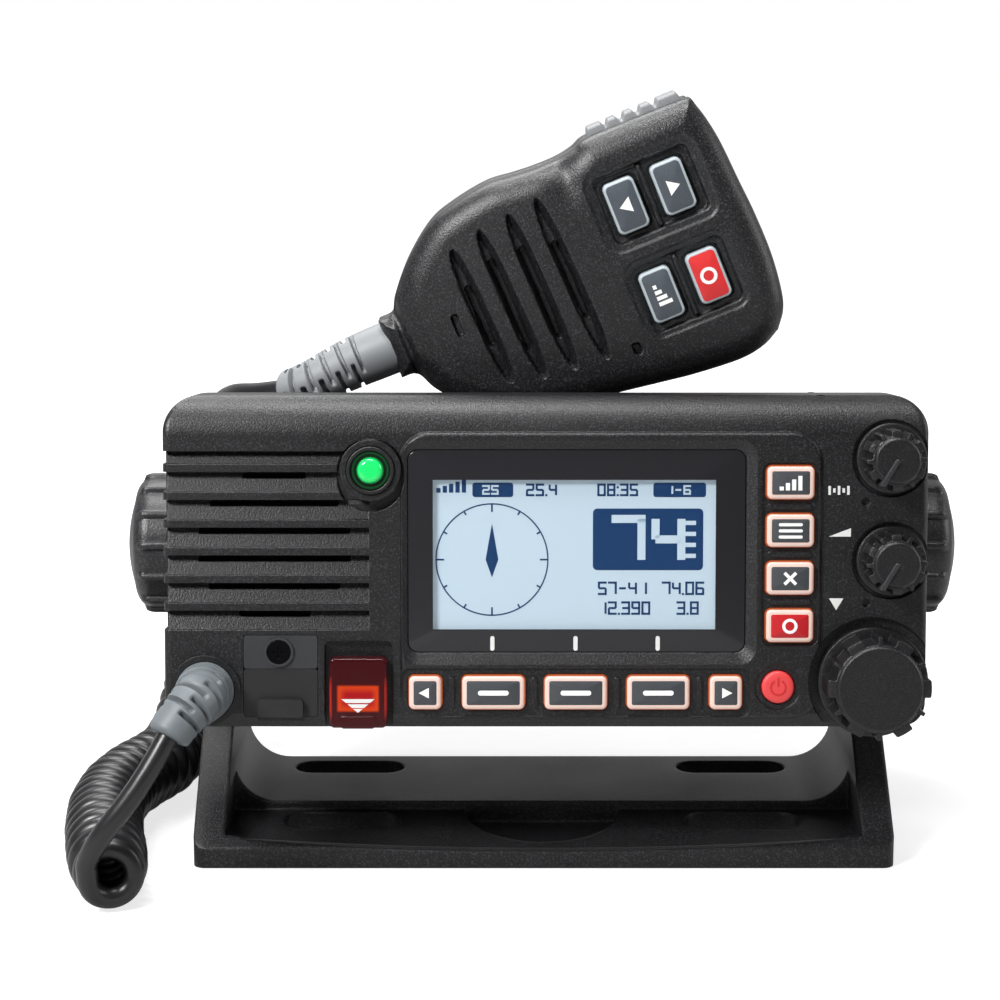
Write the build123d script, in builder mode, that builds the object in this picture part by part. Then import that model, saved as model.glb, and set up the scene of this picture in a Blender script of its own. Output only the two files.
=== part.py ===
from build123d import *

import os
from math import cos, pi, radians, sin, sqrt, tan

os.makedirs("parts", exist_ok=True)

# ---------------------------------------------------------------- driving dimensions, mm
# Where the radio hangs in its bracket. The frame's origin is the middle of the four slots, on
# the mounting surface, with +Y towards the back and +Z up.
pivot_y = 8.25
pivot_height = 71.2
rest_tilt = 6.5  # degrees that the front looks up
pivot_behind_face = 56.4
pivot_below_middle = 0.5

# Running gaps and seats.
key_gap = 0.25
shaft_gap = 0.05
knob_gap = 0.5
seat_gap = 0.1
soft_gap = 0.3

# Front panel.
panel_width = 180.0
panel_height = 78.6
panel_depth = 22.0
panel_front_wall = 3.0
panel_side_wall = 2.5
panel_top_corner = 8.5
panel_foot_corner = 6.0
panel_edge_round = 1.6
brow_height = 10.5  # the upper edge of the face leans back over this height
brow_set_back = 4.2
sill_height = 3.4
sill_set_back = 2.5

# Raised island that carries the display and the keys.
island_glass_margin = 1.85
island_right = 64.9
island_top = 30.8
island_foot = -36.9
island_corner = 7.0
island_rise = 1.2
island_recess = 0.8

# Display.
glass_x = 7.35
glass_y = 2.7
glass_width = 79.4
glass_height = 47.8
glass_corner = 2.4
glass_thickness = 1.6
glass_drop = 1.3  # below the island's top, at the foot of sloping frame sides
frame_slope_left = 1.5
frame_slope_right = 2.6
frame_slope_top = 2.2
frame_slope_foot = 2.9
island_left = glass_x - glass_width / 2 - island_glass_margin
screen_x = 6.8
screen_y = 1.8
screen_width = 66.7
screen_height = 35.5
module_thickness = 4.4
module_margin = 4.5

# Keys.
key_rise = 1.7  # above the recess that they stand in
key_flange_thickness = 1.2
key_flange_margin = 0.9
key_travel = 0.6
key_corner = 1.3
key_edge_round = 0.45
switch_size = 3.5
board_thickness = 1.6
board_top = 28.0
board_foot = -34.0
board_right = 70.0
row_y = -30.6
row_key_height = 8.0
row_recess_height = 11.6
arrow_key_width = 7.7
left_arrow_x = -28.35
right_arrow_x = 42.5
soft_key_width = 14.8
soft_key_x = 7.15
soft_key_pitch = 19.43
side_x = 57.4
side_key_width = 11.15
side_key_height = 7.8
side_top_y = 19.0
side_key_pitch = 11.25
side_recess_width = 13.2
side_recess_height = 43.3
fence_rise = 0.7
fence_thickness = 1.2
power_x = 54.8
power_y = -29.3
power_radius = 3.8
power_ring_radius = 5.4

# Loudspeaker grille.
grille_right = -41.5
grille_top = 28.2
grille_foot = -15.9
rib_pitch = 6.55
rib_thickness = 1.9
first_rib_y = 22.35
rib_count = 6
slat_deep = 2.4
slat_shallow = 0.9
slot_height = 1.6
speaker_x = -63.9
speaker_y = 4.0
speaker_slot_radius = 18.2
speaker_radius = 20.5
speaker_depth = 13.0
speaker_rim = 1.6
cone_radius = 18.4
cone_depth = 6.5
cone_thickness = 0.5

# Signal lamp.
lamp_from_glass = 8.75
lamp_x = glass_x - glass_width / 2 - lamp_from_glass
lamp_y = 21.9
lamp_pocket_width = 15.7
lamp_pocket_height = 17.0
lamp_boss_radius = 7.2
lamp_boss_rise = 1.6
lamp_ring_radius = 5.6
lamp_lens_radius = 4.6
lamp_dome_radius = 3.0
lamp_dome_rise = 1.6
lamp_ring_rise = 0.9
lamp_pocket_corner = 7.5
lamp_pocket_drop = 1.3
lamp_pocket_depth = 2.0

# Microphone lead's outlet.
outlet_x = -80.3
outlet_y = -30.3
outlet_ring_radius = 8.4
outlet_ring_rise = 1.0
outlet_ring_wall = 1.1
boot_base_radius = 6.9
boot_root_radius = 6.4
boot_end_radius = 5.1
boot_end = (-87.0, -70.0, 42.0)
boot_straight = 9.0
cord_diameter = 5.0

# Data port's cover.
cover_left = -71.2
cover_right = -53.8
cover_top = -17.2
cover_fold = -25.1
cover_foot = -36.5
cover_thickness = 1.4
cover_corner = 1.4
data_port_radius = 3.6
data_port_length = 6.0
data_port_y = -30.0
cover_screw_x = -62.9
cover_screw_y = -21.1
cover_screw_radius = 2.8
cover_boss_radius = 3.5
cover_boss_rise = 0.6
flap_tab_width = 10.7
flap_tab_height = 4.2
flap_tab_rise = 1.8

# Emergency button and its cover.
alarm_left = -52.1
alarm_right = -36.1
alarm_top = -18.5
alarm_cover_width = 13.5
alarm_cover_top = -22.3
alarm_cover_foot = -38.8
alarm_cover_wall = 1.2
alarm_cover_rise = 3.0
alarm_swing_gap = 0.7  # behind the cover, for its upper edge to swing in
alarm_tab_width = 8.1
alarm_tab_height = 1.4
alarm_tab_rise = 0.8
alarm_button_width = 9.9
alarm_button_height = 6.3
alarm_button_y = -31.8
alarm_button_front = -0.4
alarm_pocket_depth = 2.2
alarm_pocket_corner = 1.5

# Blind holes beside the squelch and volume knobs.
blind_hole_radius = 0.95
blind_hole_depth = 1.2
blind_hole_places = [(75.2, 14.4), (75.6, -9.6)]

# Rotary controls.
squelch_x = 81.1
squelch_y = 24.6
volume_x = 81.3
volume_y = 0.5
knob_pocket_radius = 9.1
knob_pocket_depth = 1.3
knob_skirt_radius = 8.3
knob_skirt_thickness = 1.8
knob_grip_radius = 7.1
knob_cap_radius = 5.6
knob_height = 11.5
knob_teeth = 12
dial_x = 77.2
dial_y = -28.1
dial_pocket_radius = 15.1
dial_pocket_depth = 1.6
dial_skirt_radius = 13.0
dial_skirt_thickness = 2.2
dial_grip_radius = 12.0
dial_cap_radius = 10.2
dial_height = 14.0
dial_teeth = 12
dial_push = 0.8
shaft_radius = 3.0
shaft_engagement = 7.0
tooth_depth = 0.8
tooth_gap = 1.3
pot_width = 8.0
pot_depth = 6.5

# Case.
case_width = 152.0
case_height = 66.0
case_depth = 92.0  # behind the gasket, to the root of the fins
case_corner = 6.0
case_wall = 3.0
case_rear_wall = 6.0
fin_depth = 12.0
fin_thickness = 2.2
fin_pitch = 7.6
case_fin_count = 18
flange_thickness = 2.6
gasket_thickness = 1.0
screw_radius = 1.5
screw_head_radius = 2.8
screw_head_height = 1.8
screw_length = 14.0
antenna_x = 48.0
antenna_y = 10.0
antenna_thread_radius = 7.9
antenna_thread_length = 13.0
antenna_flange = 20.0
antenna_body_radius = 6.5
antenna_bore_radius = 5.5
antenna_pin_radius = 2.4
gland_x = -48.0
gland_y = 14.0
gland_radius = 7.0
gland_length = 11.0
port_x = -48.0
port_y = -20.0
port_socket_radius = 8.0
port_socket_length = 8.0
socket_pad_radius = 14.5
case_groove_count = 9
case_groove_pitch = 14.0
case_groove_width = 3.0
case_groove_depth = 0.8
main_board_y = -18.0
main_board_length = 70.0
board_stand_off = 4.0
can_height = 9.0

# Bracket.
bracket_half_width = 85.75
arm_inner = 78.0
base_front = -39.75
base_back = 28.25
base_rear_height = 8.0
base_step_y = -11.5
base_step_foot = 5.8
base_front_height = 3.2
lip_width = 3.0
lip_height = 4.2
lip_corner_height = 7.0
lip_round = 5.5
base_corner = 3.0
arm_foot_round = 11.0
arm_top_radius = 20.0
arm_toe_height = 5.0  # the arms lean back from here to the knee
arm_knee_height = 28.0
arm_rib = 5.0
arm_relief = 4.0
slot_spacing_x = 101.0
slot_spacing_y = 36.5
slot_length = 29.0
slot_width = 10.6
scoop_radius = 19.5
scoop_depth = 0.8

# Clamp knobs of the bracket.
clamp_radius = 18.0
clamp_thickness = 19.5
clamp_stand_off = 0.5
clamp_ribs = 12
clamp_rib_width = 2.2
clamp_rib_rise = 0.7
clamp_dome = 3.0
stud_radius = 4.0
insert_radius = 7.0
insert_length = 9.0
insert_engagement = 7.0
washer_radius = 14.0

# Hand microphone. Its own frame lies along the body, from the cord's end.
mic_x = -36.9
mic_y = -2.4
mic_z = 123.6
mic_lean = 22.4
mic_length = 94.3
mic_half_width = 32.2
mic_neck_half_width = 10.0
mic_shoulder_at = 14.5
mic_shoulder_half_width = 23.8
mic_shoulder_round = 10.0
mic_waist_at = 30.0
mic_waist_half_width = 29.6
mic_front_depth = 15.0
mic_rear_depth = 14.0
mic_taper = 6.0
mic_wall = 2.0
mic_edge_round = 3.0
mic_corner = 9.0
mic_key_width = 7.5
mic_key_length = 12.4
mic_key_pitch = 12.2
mic_key_from_head = 16.1
mic_key_first = mic_length - mic_key_from_head - mic_key_pitch
mic_key_side = 11.6
mic_key_rise = 1.0
mic_key_travel = 0.5
mic_recess = 0.6
mic_recess_margin = 1.8
mic_slot_first = 22.8
mic_slot_pitch = 7.9
mic_slot_count = 4
mic_slot_width = 3.4
mic_slot_depth = 1.4
mic_slot_half_span = 18.0
mic_slot_span_step = 1.1
mic_hole_radius = 0.9
mic_hole_from_head = 40.1
mic_hole_at = mic_length - mic_hole_from_head
mic_hole_side = 21.8
talk_span = 23.0
talk_from_head = 8.3
talk_to = mic_length - talk_from_head
talk_from = talk_to - talk_span
talk_rise = 2.4
talk_height = 11.0
talk_ribs = 6
talk_groove = 1.2
talk_groove_depth = 0.9
mic_boot_neck_radius = 6.6
mic_boot_middle_radius = 6.2
mic_boot_end_radius = 4.6
mic_boot_straight = 8.0
mic_boot_end = (-64.5, 0.0, 112.2)
capsule_radius = 3.0
hanger_radius = 5.5
hanger_neck_radius = 3.2
hanger_neck_length = 3.0
hanger_cap_thickness = 2.0

# Curly cord.
coil_diameter = 19.5
lead_points = [
    boot_end,
    (-93.0, -75.0, 31.5),
    (-99.0, -79.5, 21.5),
    (-100.0, -80.5, 14.0),
    (-99.6, -72.74, 10.2),
    (-101.5, -66.0, 10.2),
]
coil_points = [
    (-101.5, -66.0, 10.2),
    (-106.0, -50.0, 10.2),
    (-109.0, -31.0, 10.2),
    (-109.5, -11.0, 10.2),
    (-106.5, 8.5, 10.2),
    (-101.5, 26.5, 10.4),
    (-98.0, 45.0, 15.0),
    (-94.0, 59.0, 29.0),
    (-90.5, 63.5, 47.0),
    (-88.0, 60.0, 66.0),
    (-88.0, 55.0, 81.0),
]
tail_points = [
    (-88.0, 55.0, 81.0),
    (-88.0, 50.7, 93.9),
    (-87.0, 39.5, 103.0),
    (-83.5, 25.5, 108.5),
    (-77.5, 11.5, 110.5),
    (-71.5, 4.5, 110.8),
    mic_boot_end,
]
cord_arc_share = 0.45


# ---------------------------------------------------------------- the frames that pieces lie in
def leaning_plane(forward, up):
    """The panel's plane at rest: local X right, local Y up the face, local Z out of the face."""
    origin = Vector(0, pivot_y, pivot_height) + up * pivot_below_middle + forward * pivot_behind_face
    return Plane(origin=origin, x_dir=(1, 0, 0), z_dir=forward)


face_out = Vector(0, -cos(radians(rest_tilt)), sin(radians(rest_tilt)))
face_up = Vector(0, sin(radians(rest_tilt)), cos(radians(rest_tilt)))
face = leaning_plane(face_out, face_up)
profile = Plane(origin=face.origin, x_dir=face_out, z_dir=(-1, 0, 0))  # local X forward, local Y up
out_axis = Axis(face.origin, face_out)

wide = 2 * panel_width  # longer than any cut needs
panel_back = -panel_depth
wall_back = -panel_front_wall
island_floor = island_rise - island_recess
key_front = island_floor + key_rise


def rounded(width, height, radius, x=0.0, y=0.0):
    """A rectangle with rounded corners, about a middle given in the sketch's own plane."""
    with Locations((x, y)):
        RectangleRounded(width, height, radius)


def disc(radius, x=0.0, y=0.0, mode=Mode.ADD):
    """A circle about a middle given in the sketch's own plane."""
    with Locations((x, y)):
        Circle(radius, mode=mode)


def finish(part, name):
    """Names a piece and writes it to its own file."""
    part.label = name
    export_step(part, f"parts/{name}.step")


# ---------------------------------------------------------------- bracket
base_depth = base_back - base_front
arm_width = bracket_half_width - arm_inner
arm_top = pivot_height + arm_top_radius
front_view = Plane(origin=(0, base_back, 0), x_dir=(1, 0, 0), z_dir=(0, -1, 0))
left_view = Plane(origin=(-bracket_half_width, 0, 0), x_dir=(0, -1, 0), z_dir=(-1, 0, 0))

with BuildPart() as bracket:
    # Seen from the side, the arms lean back from the foot and end in a round about the pivot.
    with BuildSketch(left_view):
        with BuildLine():
            Polyline(
                (-base_back, arm_knee_height),
                (-base_back, 0),
                (-base_front, 0),
                (-base_front, arm_toe_height),
                (-pivot_y + arm_top_radius, arm_knee_height),
                (-pivot_y + arm_top_radius, pivot_height),
            )
            RadiusArc(
                (-pivot_y + arm_top_radius, pivot_height),
                (-pivot_y - arm_top_radius, pivot_height),
                -arm_top_radius,
            )
            Line((-pivot_y - arm_top_radius, pivot_height), (-base_back, arm_knee_height))
        make_face()
    extrude(amount=-2 * bracket_half_width)
    # Seen from the front, the U has sweeping inner corners.
    with BuildSketch(front_view.offset(-1)) as hollow:
        with Locations((0, base_rear_height + arm_top)):
            Rectangle(2 * arm_inner, 2 * arm_top)
        fillet(hollow.vertices().group_by(Axis.Y)[0], arm_foot_round)
    extrude(amount=base_depth + 2, mode=Mode.SUBTRACT)
    # Front foot: a sloping plate in front of a step.
    with BuildSketch(left_view.offset(-arm_width)):
        with BuildLine():
            Polyline(
                (-base_step_y, base_step_foot),
                (-base_front - lip_width, base_front_height),
                (-base_front - lip_width, 2 * base_rear_height),
                (-base_step_y, 2 * base_rear_height),
                close=True,
            )
        make_face()
    extrude(amount=-2 * arm_inner, mode=Mode.SUBTRACT)
    # The lip along the front edge rises in a shallow curve towards both arms.
    with BuildSketch(front_view.offset(base_depth - lip_width)) as lip:
        with BuildLine():
            ThreePointArc((-arm_inner, lip_corner_height), (0, lip_height), (arm_inner, lip_corner_height))
            Polyline(
                (arm_inner, lip_corner_height),
                (arm_inner, 2 * base_rear_height),
                (-arm_inner, 2 * base_rear_height),
                (-arm_inner, lip_corner_height),
            )
        make_face()
        fillet(lip.vertices().group_by(Axis.Y)[0], lip_round)
    extrude(amount=2 * lip_width, mode=Mode.SUBTRACT)
    fillet(bracket.edges().filter_by(Axis.Z).group_by(Axis.Y)[0], base_corner)
    # Round scoop in the middle of the foot.
    with BuildSketch(Plane.XY.offset(base_front_height - scoop_depth)):
        with Locations((0, base_step_y)):
            Circle(scoop_radius)
        with Locations((0, base_step_y + scoop_radius)):
            Rectangle(2 * scoop_radius, 2 * scoop_radius, mode=Mode.SUBTRACT)
    extrude(amount=base_rear_height, mode=Mode.SUBTRACT)
    # Four slots for the mounting screws.
    with BuildSketch(Plane.XY):
        with GridLocations(slot_spacing_x, slot_spacing_y, 2, 2):
            SlotOverall(slot_length, slot_width)
    extrude(amount=base_rear_height + 1, mode=Mode.SUBTRACT)
    # Holes for the clamp studs.
    with BuildSketch(left_view):
        with Locations((-pivot_y, pivot_height)):
            Circle(stud_radius + knob_gap)
    extrude(amount=-2 * bracket_half_width, mode=Mode.SUBTRACT)
    # The outer sides of the arms are relieved inside a rim, apart from the boss round the stud.
    for side in (-1, 1):
        arm_side = Plane(origin=(side * bracket_half_width, 0, 0), x_dir=(0, side, 0), z_dir=(side, 0, 0))
        with BuildSketch(arm_side):
            with BuildLine():
                Polyline(
                    (side * (base_front + 3 * arm_rib), arm_rib),
                    (side * (pivot_y - arm_top_radius + arm_rib), arm_knee_height),
                    (side * (pivot_y - arm_top_radius + arm_rib), pivot_height - arm_top_radius),
                    (side * (pivot_y + arm_top_radius - arm_rib), pivot_height - arm_top_radius),
                    (side * (base_back - arm_rib), arm_rib),
                    close=True,
                )
            make_face()
        extrude(amount=-arm_relief, mode=Mode.SUBTRACT)
finish(bracket.part, "bracket")

# ---------------------------------------------------------------- clamps between bracket and case
case_half = case_width / 2
insert_face = case_half - seat_gap
clamp_face = bracket_half_width + clamp_stand_off
for side, name in ((-1, "left"), (1, "right")):
    pivot_view = Plane(
        origin=(side * clamp_face, pivot_y, pivot_height),
        x_dir=(0, side, 0),
        z_dir=(side, 0, 0),
    )
    with BuildPart() as clamp_knob:
        with BuildSketch(pivot_view):
            Circle(clamp_radius)
        extrude(amount=clamp_thickness)
        fillet(clamp_knob.faces().sort_by(Axis.X)[-1 if side > 0 else 0].edges(), clamp_dome)
        with BuildSketch(pivot_view.offset(clamp_thickness * 0.2)):
            with PolarLocations(clamp_radius, clamp_ribs):
                RectangleRounded(2 * clamp_rib_rise, clamp_rib_width, 0.45 * 2 * clamp_rib_rise)
        extrude(amount=clamp_thickness * 0.55)
        with BuildSketch(pivot_view):
            Circle(stud_radius + seat_gap)
        extrude(amount=clamp_thickness / 2, mode=Mode.SUBTRACT)
    finish(clamp_knob.part, f"clamp_knob_{name}")

    stud_inner = case_half - insert_engagement
    stud_length = clamp_face + clamp_thickness / 2 - seat_gap - stud_inner
    with BuildPart() as clamp_stud:
        with BuildSketch(Plane(origin=(side * stud_inner, pivot_y, pivot_height), z_dir=(side, 0, 0))):
            Circle(stud_radius)
        extrude(amount=stud_length)
        chamfer(clamp_stud.faces().sort_by(Axis.X)[0 if side > 0 else -1].edges(), stud_radius / 5)
    finish(clamp_stud.part, f"clamp_stud_{name}")

washer_room = arm_inner - case_half
with BuildPart() as bracket_washers:
    for side in (-1, 1):
        washer_seat = Plane(origin=(side * (case_half + seat_gap), pivot_y, pivot_height), z_dir=(side, 0, 0))
        with BuildSketch(washer_seat):
            Circle(washer_radius)
            Circle(stud_radius + knob_gap, mode=Mode.SUBTRACT)
        extrude(amount=washer_room - 2 * seat_gap)
finish(bracket_washers.part, "bracket_washers")

with BuildPart() as pivot_inserts:
    for side in (-1, 1):
        with BuildSketch(Plane(origin=(side * insert_face, pivot_y, pivot_height), z_dir=(-side, 0, 0))):
            Circle(insert_radius)
            Circle(stud_radius + shaft_gap, mode=Mode.SUBTRACT)
        extrude(amount=insert_length)
finish(pivot_inserts.part, "pivot_inserts")

# ---------------------------------------------------------------- front panel
island_width = island_right - island_left
island_height = island_top - island_foot
island_x = (island_left + island_right) / 2
island_y = (island_top + island_foot) / 2
glass_front = island_rise - glass_drop
glass_back = glass_front - glass_thickness
row_right = right_arrow_x + arrow_key_width / 2
row_left = left_arrow_x - arrow_key_width / 2
row_margin = (row_recess_height - row_key_height) / 2
side_middle_y = side_top_y - 1.5 * side_key_pitch
rib_ys = [first_rib_y - rib_pitch * i for i in range(rib_count)]
slat_tops = [grille_top - rib_thickness] + [y - rib_thickness / 2 for y in rib_ys]
slat_feet = [y + rib_thickness / 2 for y in rib_ys] + [grille_foot]

soft_keys = {
    "left_arrow_key": (left_arrow_x, arrow_key_width),
    "soft_key_left": (soft_key_x - soft_key_pitch, soft_key_width),
    "soft_key_middle": (soft_key_x, soft_key_width),
    "soft_key_right": (soft_key_x + soft_key_pitch, soft_key_width),
    "right_arrow_key": (right_arrow_x, arrow_key_width),
}
side_keys = {
    "power_level_key": side_top_y,
    "menu_key": side_top_y - side_key_pitch,
    "clear_key": side_top_y - 2 * side_key_pitch,
    "priority_key": side_top_y - 3 * side_key_pitch,
}
key_places = [(name, x, row_y, w, row_key_height) for name, (x, w) in soft_keys.items()]
key_places += [(name, side_x, y, side_key_width, side_key_height) for name, y in side_keys.items()]
row_gaps = [
    (places[0][1] + places[0][3] / 2 + places[1][1] - places[1][3] / 2) / 2
    for places in zip(key_places[:4], key_places[1:5])
]
side_gaps = [side_top_y - side_key_pitch * (i + 0.5) for i in range(3)]
boss_radius = screw_radius + 1.8
screw_side_x = panel_width / 2 - 1.7 * boss_radius
screw_gap_y = (volume_y - knob_pocket_radius + dial_y + dial_pocket_radius) / 2  # between the knobs
case_screw_places = [
    (-screw_side_x, panel_height / 2 - 1.9 * boss_radius),
    (island_right, case_height / 2 + screw_head_radius + soft_gap),
    (-screw_side_x, outlet_y + outlet_ring_radius + boss_radius),
    (screw_side_x, screw_gap_y),
]
pilot_radius = screw_radius - 0.3
cover_middle_x = (cover_left + cover_right) / 2
alarm_x = (alarm_left + alarm_right) / 2
alarm_cover_middle_y = (alarm_cover_top + alarm_cover_foot) / 2

with BuildPart() as front_panel:
    with BuildSketch(face.offset(panel_back)) as outline:
        Rectangle(panel_width, panel_height)
        fillet(outline.vertices().group_by(Axis.Y)[-1], panel_top_corner)
        fillet(outline.vertices().group_by(Axis.Y)[0], panel_foot_corner)
    extrude(amount=panel_depth)
    # The brow leans back and the sill tucks under.
    with BuildSketch(profile):
        with BuildLine():
            ThreePointArc(
                (0, panel_height / 2 - brow_height),
                (-0.3 * brow_set_back, panel_height / 2 - 0.45 * brow_height),
                (-1.5 * brow_set_back, panel_height / 2),
            )
            Polyline(
                (-1.5 * brow_set_back, panel_height / 2),
                (-1.5 * brow_set_back, panel_height),
                (brow_set_back, panel_height),
                (brow_set_back, panel_height / 2 - brow_height),
                (0, panel_height / 2 - brow_height),
            )
        make_face()
        with BuildLine():
            Polyline(
                (0, -panel_height / 2 + sill_height),
                (-sill_set_back, -panel_height / 2),
                (-sill_set_back, -panel_height),
                (sill_set_back, -panel_height),
                (sill_set_back, -panel_height / 2 + sill_height),
                close=True,
            )
        make_face()
    extrude(amount=panel_width, both=True, mode=Mode.SUBTRACT)
    front_edges = front_panel.faces().sort_by(out_axis)[-1].edges()
    fillet(front_edges.filter_by(Axis.X, reverse=True), panel_edge_round)
    # Hollow inside, with its front wall and the space behind the brow.
    with BuildSketch(face.offset(panel_back)):
        RectangleRounded(
            panel_width - 2 * panel_side_wall,
            panel_height - 2 * panel_side_wall,
            panel_foot_corner - panel_side_wall,
        )
    extrude(amount=panel_depth - 2 * brow_set_back - panel_side_wall, mode=Mode.SUBTRACT)
    with BuildSketch(face.offset(panel_back)):
        with Locations((0, (sill_height - brow_height) / 2)):
            RectangleRounded(
                panel_width - 2 * panel_side_wall,
                panel_height - brow_height - sill_height,
                panel_foot_corner - panel_side_wall,
            )
    extrude(amount=panel_depth - panel_front_wall, mode=Mode.SUBTRACT)
    # Bosses for the case screws.
    with BuildSketch(face.offset(panel_back)):
        with Locations(*case_screw_places):
            Circle(boss_radius)
    extrude(amount=panel_depth - panel_front_wall / 2 - brow_set_back)
    with BuildSketch(face.offset(panel_back)):
        with Locations(*case_screw_places):
            Circle(pilot_radius)
    extrude(amount=screw_length, mode=Mode.SUBTRACT)
    # Island, lamp pad and the pads round the push buttons.
    with BuildSketch(face.offset(wall_back)):
        rounded(island_width, island_height, island_corner, island_x, island_y)
    extrude(amount=panel_front_wall + island_rise)
    fillet(front_panel.faces().sort_by(out_axis)[-1].outer_wire().edges(), island_rise - 2 * seat_gap)
    # Recesses of the key row and of the side keys.
    with BuildSketch(face.offset(island_floor)):
        rounded(row_right - row_left + 2 * row_margin, row_recess_height, 2, soft_key_x, row_y)
        rounded(side_recess_width, side_recess_height, 2, side_x, side_middle_y)
    extrude(amount=island_rise, mode=Mode.SUBTRACT)
    # Low fences between the keys.
    with BuildSketch(face.offset(island_floor)):
        for x in row_gaps:
            rounded(fence_thickness, row_key_height - 1, fence_thickness * 0.45, x, row_y)
        for y in side_gaps:
            rounded(side_key_width - 1, fence_thickness, fence_thickness * 0.45, side_x, y)
    extrude(amount=fence_rise)
    # Frame that slopes down to the display window on all four sides.
    with BuildSketch(face.offset(island_rise)):
        rounded(
            glass_width + frame_slope_left + frame_slope_right,
            glass_height + frame_slope_top + frame_slope_foot,
            glass_corner + frame_slope_left,
            glass_x + (frame_slope_right - frame_slope_left) / 2,
            glass_y + (frame_slope_top - frame_slope_foot) / 2,
        )
    with BuildSketch(face.offset(glass_front)):
        rounded(
            glass_width + 2 * seat_gap,
            glass_height + 2 * seat_gap,
            glass_corner + seat_gap,
            glass_x,
            glass_y,
        )
    loft(ruled=True, mode=Mode.SUBTRACT)
    # Seat of the display window, and the opening behind it.
    with BuildSketch(face.offset(glass_back)):
        rounded(
            glass_width + 2 * seat_gap,
            glass_height + 2 * seat_gap,
            glass_corner + seat_gap,
            glass_x,
            glass_y,
        )
    extrude(amount=2 * glass_thickness, mode=Mode.SUBTRACT)
    with BuildSketch(face.offset(2 * wall_back)):
        rounded(screen_width + 2 * seat_gap + 2, screen_height + 2 * seat_gap + 2, 1, screen_x, screen_y)
    extrude(amount=4 * panel_front_wall, mode=Mode.SUBTRACT)
    # Holes of the keys.
    with BuildSketch(face.offset(2 * wall_back)):
        for _, x, y, w, h in key_places:
            rounded(w + 2 * key_gap, h + 2 * key_gap, key_corner + key_gap, x, y)
        disc(power_radius + key_gap, power_x, power_y)
        rounded(
            alarm_button_width + 2 * key_gap,
            alarm_button_height + 2 * key_gap,
            key_corner,
            alarm_x,
            alarm_button_y,
        )
    extrude(amount=4 * panel_front_wall, mode=Mode.SUBTRACT)
    with BuildSketch(face.offset(island_rise - 0.3)):
        disc(power_ring_radius, power_x, power_y)
    extrude(amount=island_rise, mode=Mode.SUBTRACT)
    # Pockets of the knobs, open at the panel's edge, and the holes of their shafts.
    with BuildSketch(face.offset(-knob_pocket_depth)):
        disc(knob_pocket_radius, squelch_x, squelch_y)
        disc(knob_pocket_radius, volume_x, volume_y)
    extrude(amount=2 * brow_set_back, mode=Mode.SUBTRACT)
    with BuildSketch(face.offset(-dial_pocket_depth)):
        disc(dial_pocket_radius, dial_x, dial_y)
    extrude(amount=2 * brow_set_back, mode=Mode.SUBTRACT)
    with BuildSketch(face.offset(2 * wall_back)):
        for x, y in ((squelch_x, squelch_y), (volume_x, volume_y), (dial_x, dial_y)):
            disc(shaft_radius + knob_gap, x, y)
    extrude(amount=4 * panel_front_wall, mode=Mode.SUBTRACT)
    # Slats between the ribs of the grille, deepest below each rib, carried round the panel's side.
    for top, foot in zip(slat_tops, slat_feet):
        with BuildSketch(profile.offset(-grille_right)):
            with BuildLine():
                Polyline((1, top), (-slat_deep, top), (-slat_shallow, foot), (1, foot), close=True)
            make_face()
        extrude(amount=wide, mode=Mode.SUBTRACT)
        with BuildSketch(face.offset(-3 * slat_deep)):
            with Locations((-panel_width / 2, (top + foot) / 2)):
                Rectangle(2 * slat_shallow, top - foot)
        extrude(amount=4 * slat_deep, mode=Mode.SUBTRACT)
    # Slots into the loudspeaker, cut off by its circle.
    with BuildSketch(face.offset(2 * wall_back)):
        for top in slat_tops[1:]:
            slot_y = top - slot_height / 2
            half = sqrt(speaker_slot_radius**2 - (slot_y - speaker_y) ** 2)
            rounded(2 * half, slot_height, slot_height * 0.3, speaker_x, slot_y)
    extrude(amount=4 * panel_front_wall, mode=Mode.SUBTRACT)
    # Dark pocket of the signal lamp, with a raised boss round the lamp's hole.
    with BuildSketch(face.offset(-lamp_pocket_depth)):
        rounded(lamp_pocket_width, lamp_pocket_height, lamp_pocket_corner, lamp_x, lamp_y - lamp_pocket_drop)
    extrude(amount=2 * lamp_pocket_depth, mode=Mode.SUBTRACT)
    with BuildSketch(face.offset(2 * wall_back)):
        disc(lamp_boss_radius, lamp_x, lamp_y)
    extrude(amount=-2 * wall_back + lamp_boss_rise)
    with BuildSketch(face.offset(3 * wall_back)):
        disc(lamp_ring_radius + seat_gap, lamp_x, lamp_y)
    extrude(amount=6 * panel_front_wall, mode=Mode.SUBTRACT)
    # Hole of the microphone lead's ring.
    with BuildSketch(face.offset(2 * wall_back)):
        disc(outlet_ring_radius - outlet_ring_wall + seat_gap, outlet_x, outlet_y)
    extrude(amount=4 * panel_front_wall, mode=Mode.SUBTRACT)
    # Seat of the port cover and the hole of the port behind it.
    with BuildSketch(face.offset(-cover_thickness)):
        rounded(
            cover_right - cover_left + 2 * seat_gap,
            cover_top - cover_foot + 2 * seat_gap,
            cover_corner / 2,
            cover_middle_x,
            (cover_top + cover_foot) / 2,
        )
        with Locations((cover_middle_x, -panel_height / 2)):
            Rectangle(flap_tab_width + 2 * seat_gap, 2 * (cover_foot + panel_height / 2))
    extrude(amount=2 * cover_thickness, mode=Mode.SUBTRACT)
    with BuildSketch(face.offset(2 * wall_back)):
        disc(data_port_radius + seat_gap, cover_middle_x, data_port_y)
        disc(pilot_radius, cover_screw_x, cover_screw_y)
    extrude(amount=4 * panel_front_wall, mode=Mode.SUBTRACT)
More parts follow.
